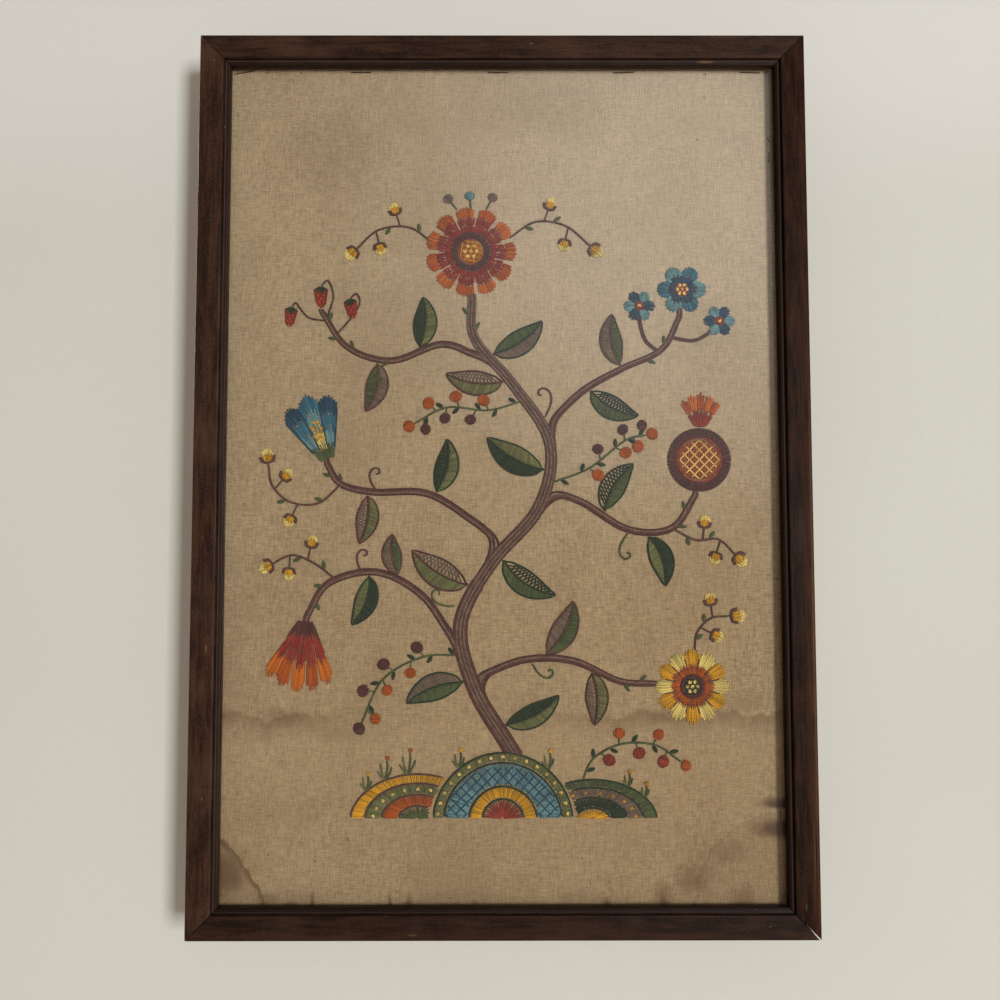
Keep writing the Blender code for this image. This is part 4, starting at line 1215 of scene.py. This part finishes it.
for place_right, heading in ((-0.033, 128), (-0.023, 94), (-0.012, 62)):
    foot = np.array([place_right, 0.1948])
    tip = out_from(foot, 0.0085, math.radians(heading))
    stitch([foot, tip], "leaf_green", 0.0013, 0.0011)
    satin_round(tip + (tip - foot) * 0.25, 0.0036, "light_teal" if heading == 94 else "taupe", heading, BERRY_TOP)
sew("crest_sprig", "wool_green")


# Studio: a pale wall close behind the panel, a pale floor well below it, soft light all round with
# its brightest part up to the right, a broad lamp from the right and a weaker one behind. The wall
# is seen only from the front, so that the back can be looked at.
WALL_GAP = 0.0265
FLOOR = -1.15
paint, tree, shader, where, (*_, up) = new_material("pale_wall", 0.9)
patchy = noise(where, 2.6, 2.0, 0.6)
fine = noise(where, 260.0, 1.0, 0.6)
tone = mix_colour(ramp(patchy, 0.3, 0.7), (0.74, 0.728, 0.676, 1), (0.768, 0.76, 0.712, 1))
tone = mix_colour(ramp(fine, 0.35, 0.65, 0.0, 0.1), tone, (0.66, 0.65, 0.61, 1))
# Painted light: the wall is made paler towards the top, where more light falls on it.
tone = mix_colour(ramp(up, 0.18, 0.34, 0.0, 0.7), tone, (0.853, 0.844, 0.818, 1))
feed(shader, Base_Color=tone, Specular_IOR_Level=0.1)
light_path = tree.nodes.new("ShaderNodeLightPath")
seen_from = tree.nodes.new("ShaderNodeNewGeometry")
front_only = Signal(light_path.outputs["Is Camera Ray"]) * (1.0 - Signal(seen_from.outputs["Backfacing"]))
clear = tree.nodes.new("ShaderNodeBsdfTransparent")
link(mix_surfaces(tree, front_only, clear.outputs[0], shader.outputs[0]),
     tree.nodes["Material Output"].inputs["Surface"])
ground, tree, shader, where, (right, y, _) = new_material("pale_floor", 0.8)
patchy = noise(where, 3.0, 3.0, 0.6)
feed(shader, Base_Color=mix_colour(ramp(patchy, 0.3, 0.7), (0.7, 0.68, 0.64, 1), (0.74, 0.72, 0.68, 1)))
from_middle = maths("SQRT", right * right + y * y)
clear = tree.nodes.new("ShaderNodeBsdfTransparent")
link(mix_surfaces(tree, ramp(from_middle, 0.5, 1.8), shader.outputs[0], clear.outputs[0]),
     tree.nodes["Material Output"].inputs["Surface"])
for name, corners, finish in (
        ("backdrop", [(-2.5, WALL_GAP, FLOOR), (2.5, WALL_GAP, FLOOR), (2.5, WALL_GAP, 1.6), (-2.5, WALL_GAP, 1.6)],
         paint),
        ("floor", [(-4, -4, FLOOR), (4, -4, FLOOR), (4, 4, FLOOR), (-4, 4, FLOOR)], ground)):
    mesh = bpy.data.meshes.new(name)
    mesh.from_pydata(corners, [], [(0, 1, 2, 3)])
    mesh.materials.append(finish)
    standing = bpy.data.objects.new(name, mesh)
    bpy.context.scene.collection.objects.link(standing)

world = bpy.data.worlds.new("studio_light")
bpy.context.scene.world = world
world.use_nodes = True
tree = world.node_tree
background = tree.nodes["Background"]
looking = Signal(tree.nodes.new("ShaderNodeTexCoord").outputs["Generated"])
towards = add_node("VectorMath", {0: looking, 1: Vector((0.143, -0.634, 0.242)).normalized()}, "Value",
                   operation="DOT_PRODUCT")
window = ramp(towards, 0.925, 1.0)
seen = Signal(tree.nodes.new("ShaderNodeLightPath").outputs["Is Camera Ray"])
tone = mix_colour(window, (1.0, 0.85, 0.69, 1), (0.98, 0.98, 0.98, 1))
strength = ramp(window, 0.0, 1.0, 0.252, 0.62, smooth=False)
feed(background, Color=mix_colour(seen, tone, (0.66, 0.65, 0.62, 1)), Strength=maths("MAXIMUM", strength, seen))

# Columns: name, place, width, height, watts, colour. The second one lights the back of the panel.
LAMPS = (
    ("broad_lamp", (3.15, -5.6, CENTRE_Z + 0.14), 1.2, 2.1, 264.0, (0.97, 0.99, 0.97)),
    ("back_lamp", (-1.3, 2.6, 0.9), 1.6, 1.6, 80.0, (1.0, 0.97, 0.93)),
)
for name, place, width, height, watts, colour in LAMPS:
    lamp = bpy.data.lights.new(name, "AREA")
    lamp.shape = "RECTANGLE"
    lamp.size, lamp.size_y = width, height
    lamp.energy = watts
    lamp.color = colour
    lamp_stand = bpy.data.objects.new(name, lamp)
    lamp_stand.location = place
    lamp_stand.rotation_euler = (Vector((0, 0, CENTRE_Z)) - lamp_stand.location).to_track_quat("-Z", "Y").to_euler()
    bpy.context.scene.collection.objects.link(lamp_stand)

camera = bpy.data.cameras.new("viewpoint")
camera.sensor_width = 36.0
camera.lens = 32.1
camera.clip_start = 0.01
tripod = bpy.data.objects.new("viewpoint", camera)
tripod.location = (-0.0032, -0.6462, CENTRE_Z - 0.0518)
tripod.rotation_euler = (math.radians(93.15), math.radians(0.05), math.radians(-0.11))
bpy.context.scene.collection.objects.link(tripod)
bpy.context.scene.camera = tripod
bpy.context.scene.view_settings.view_transform = "Standard"
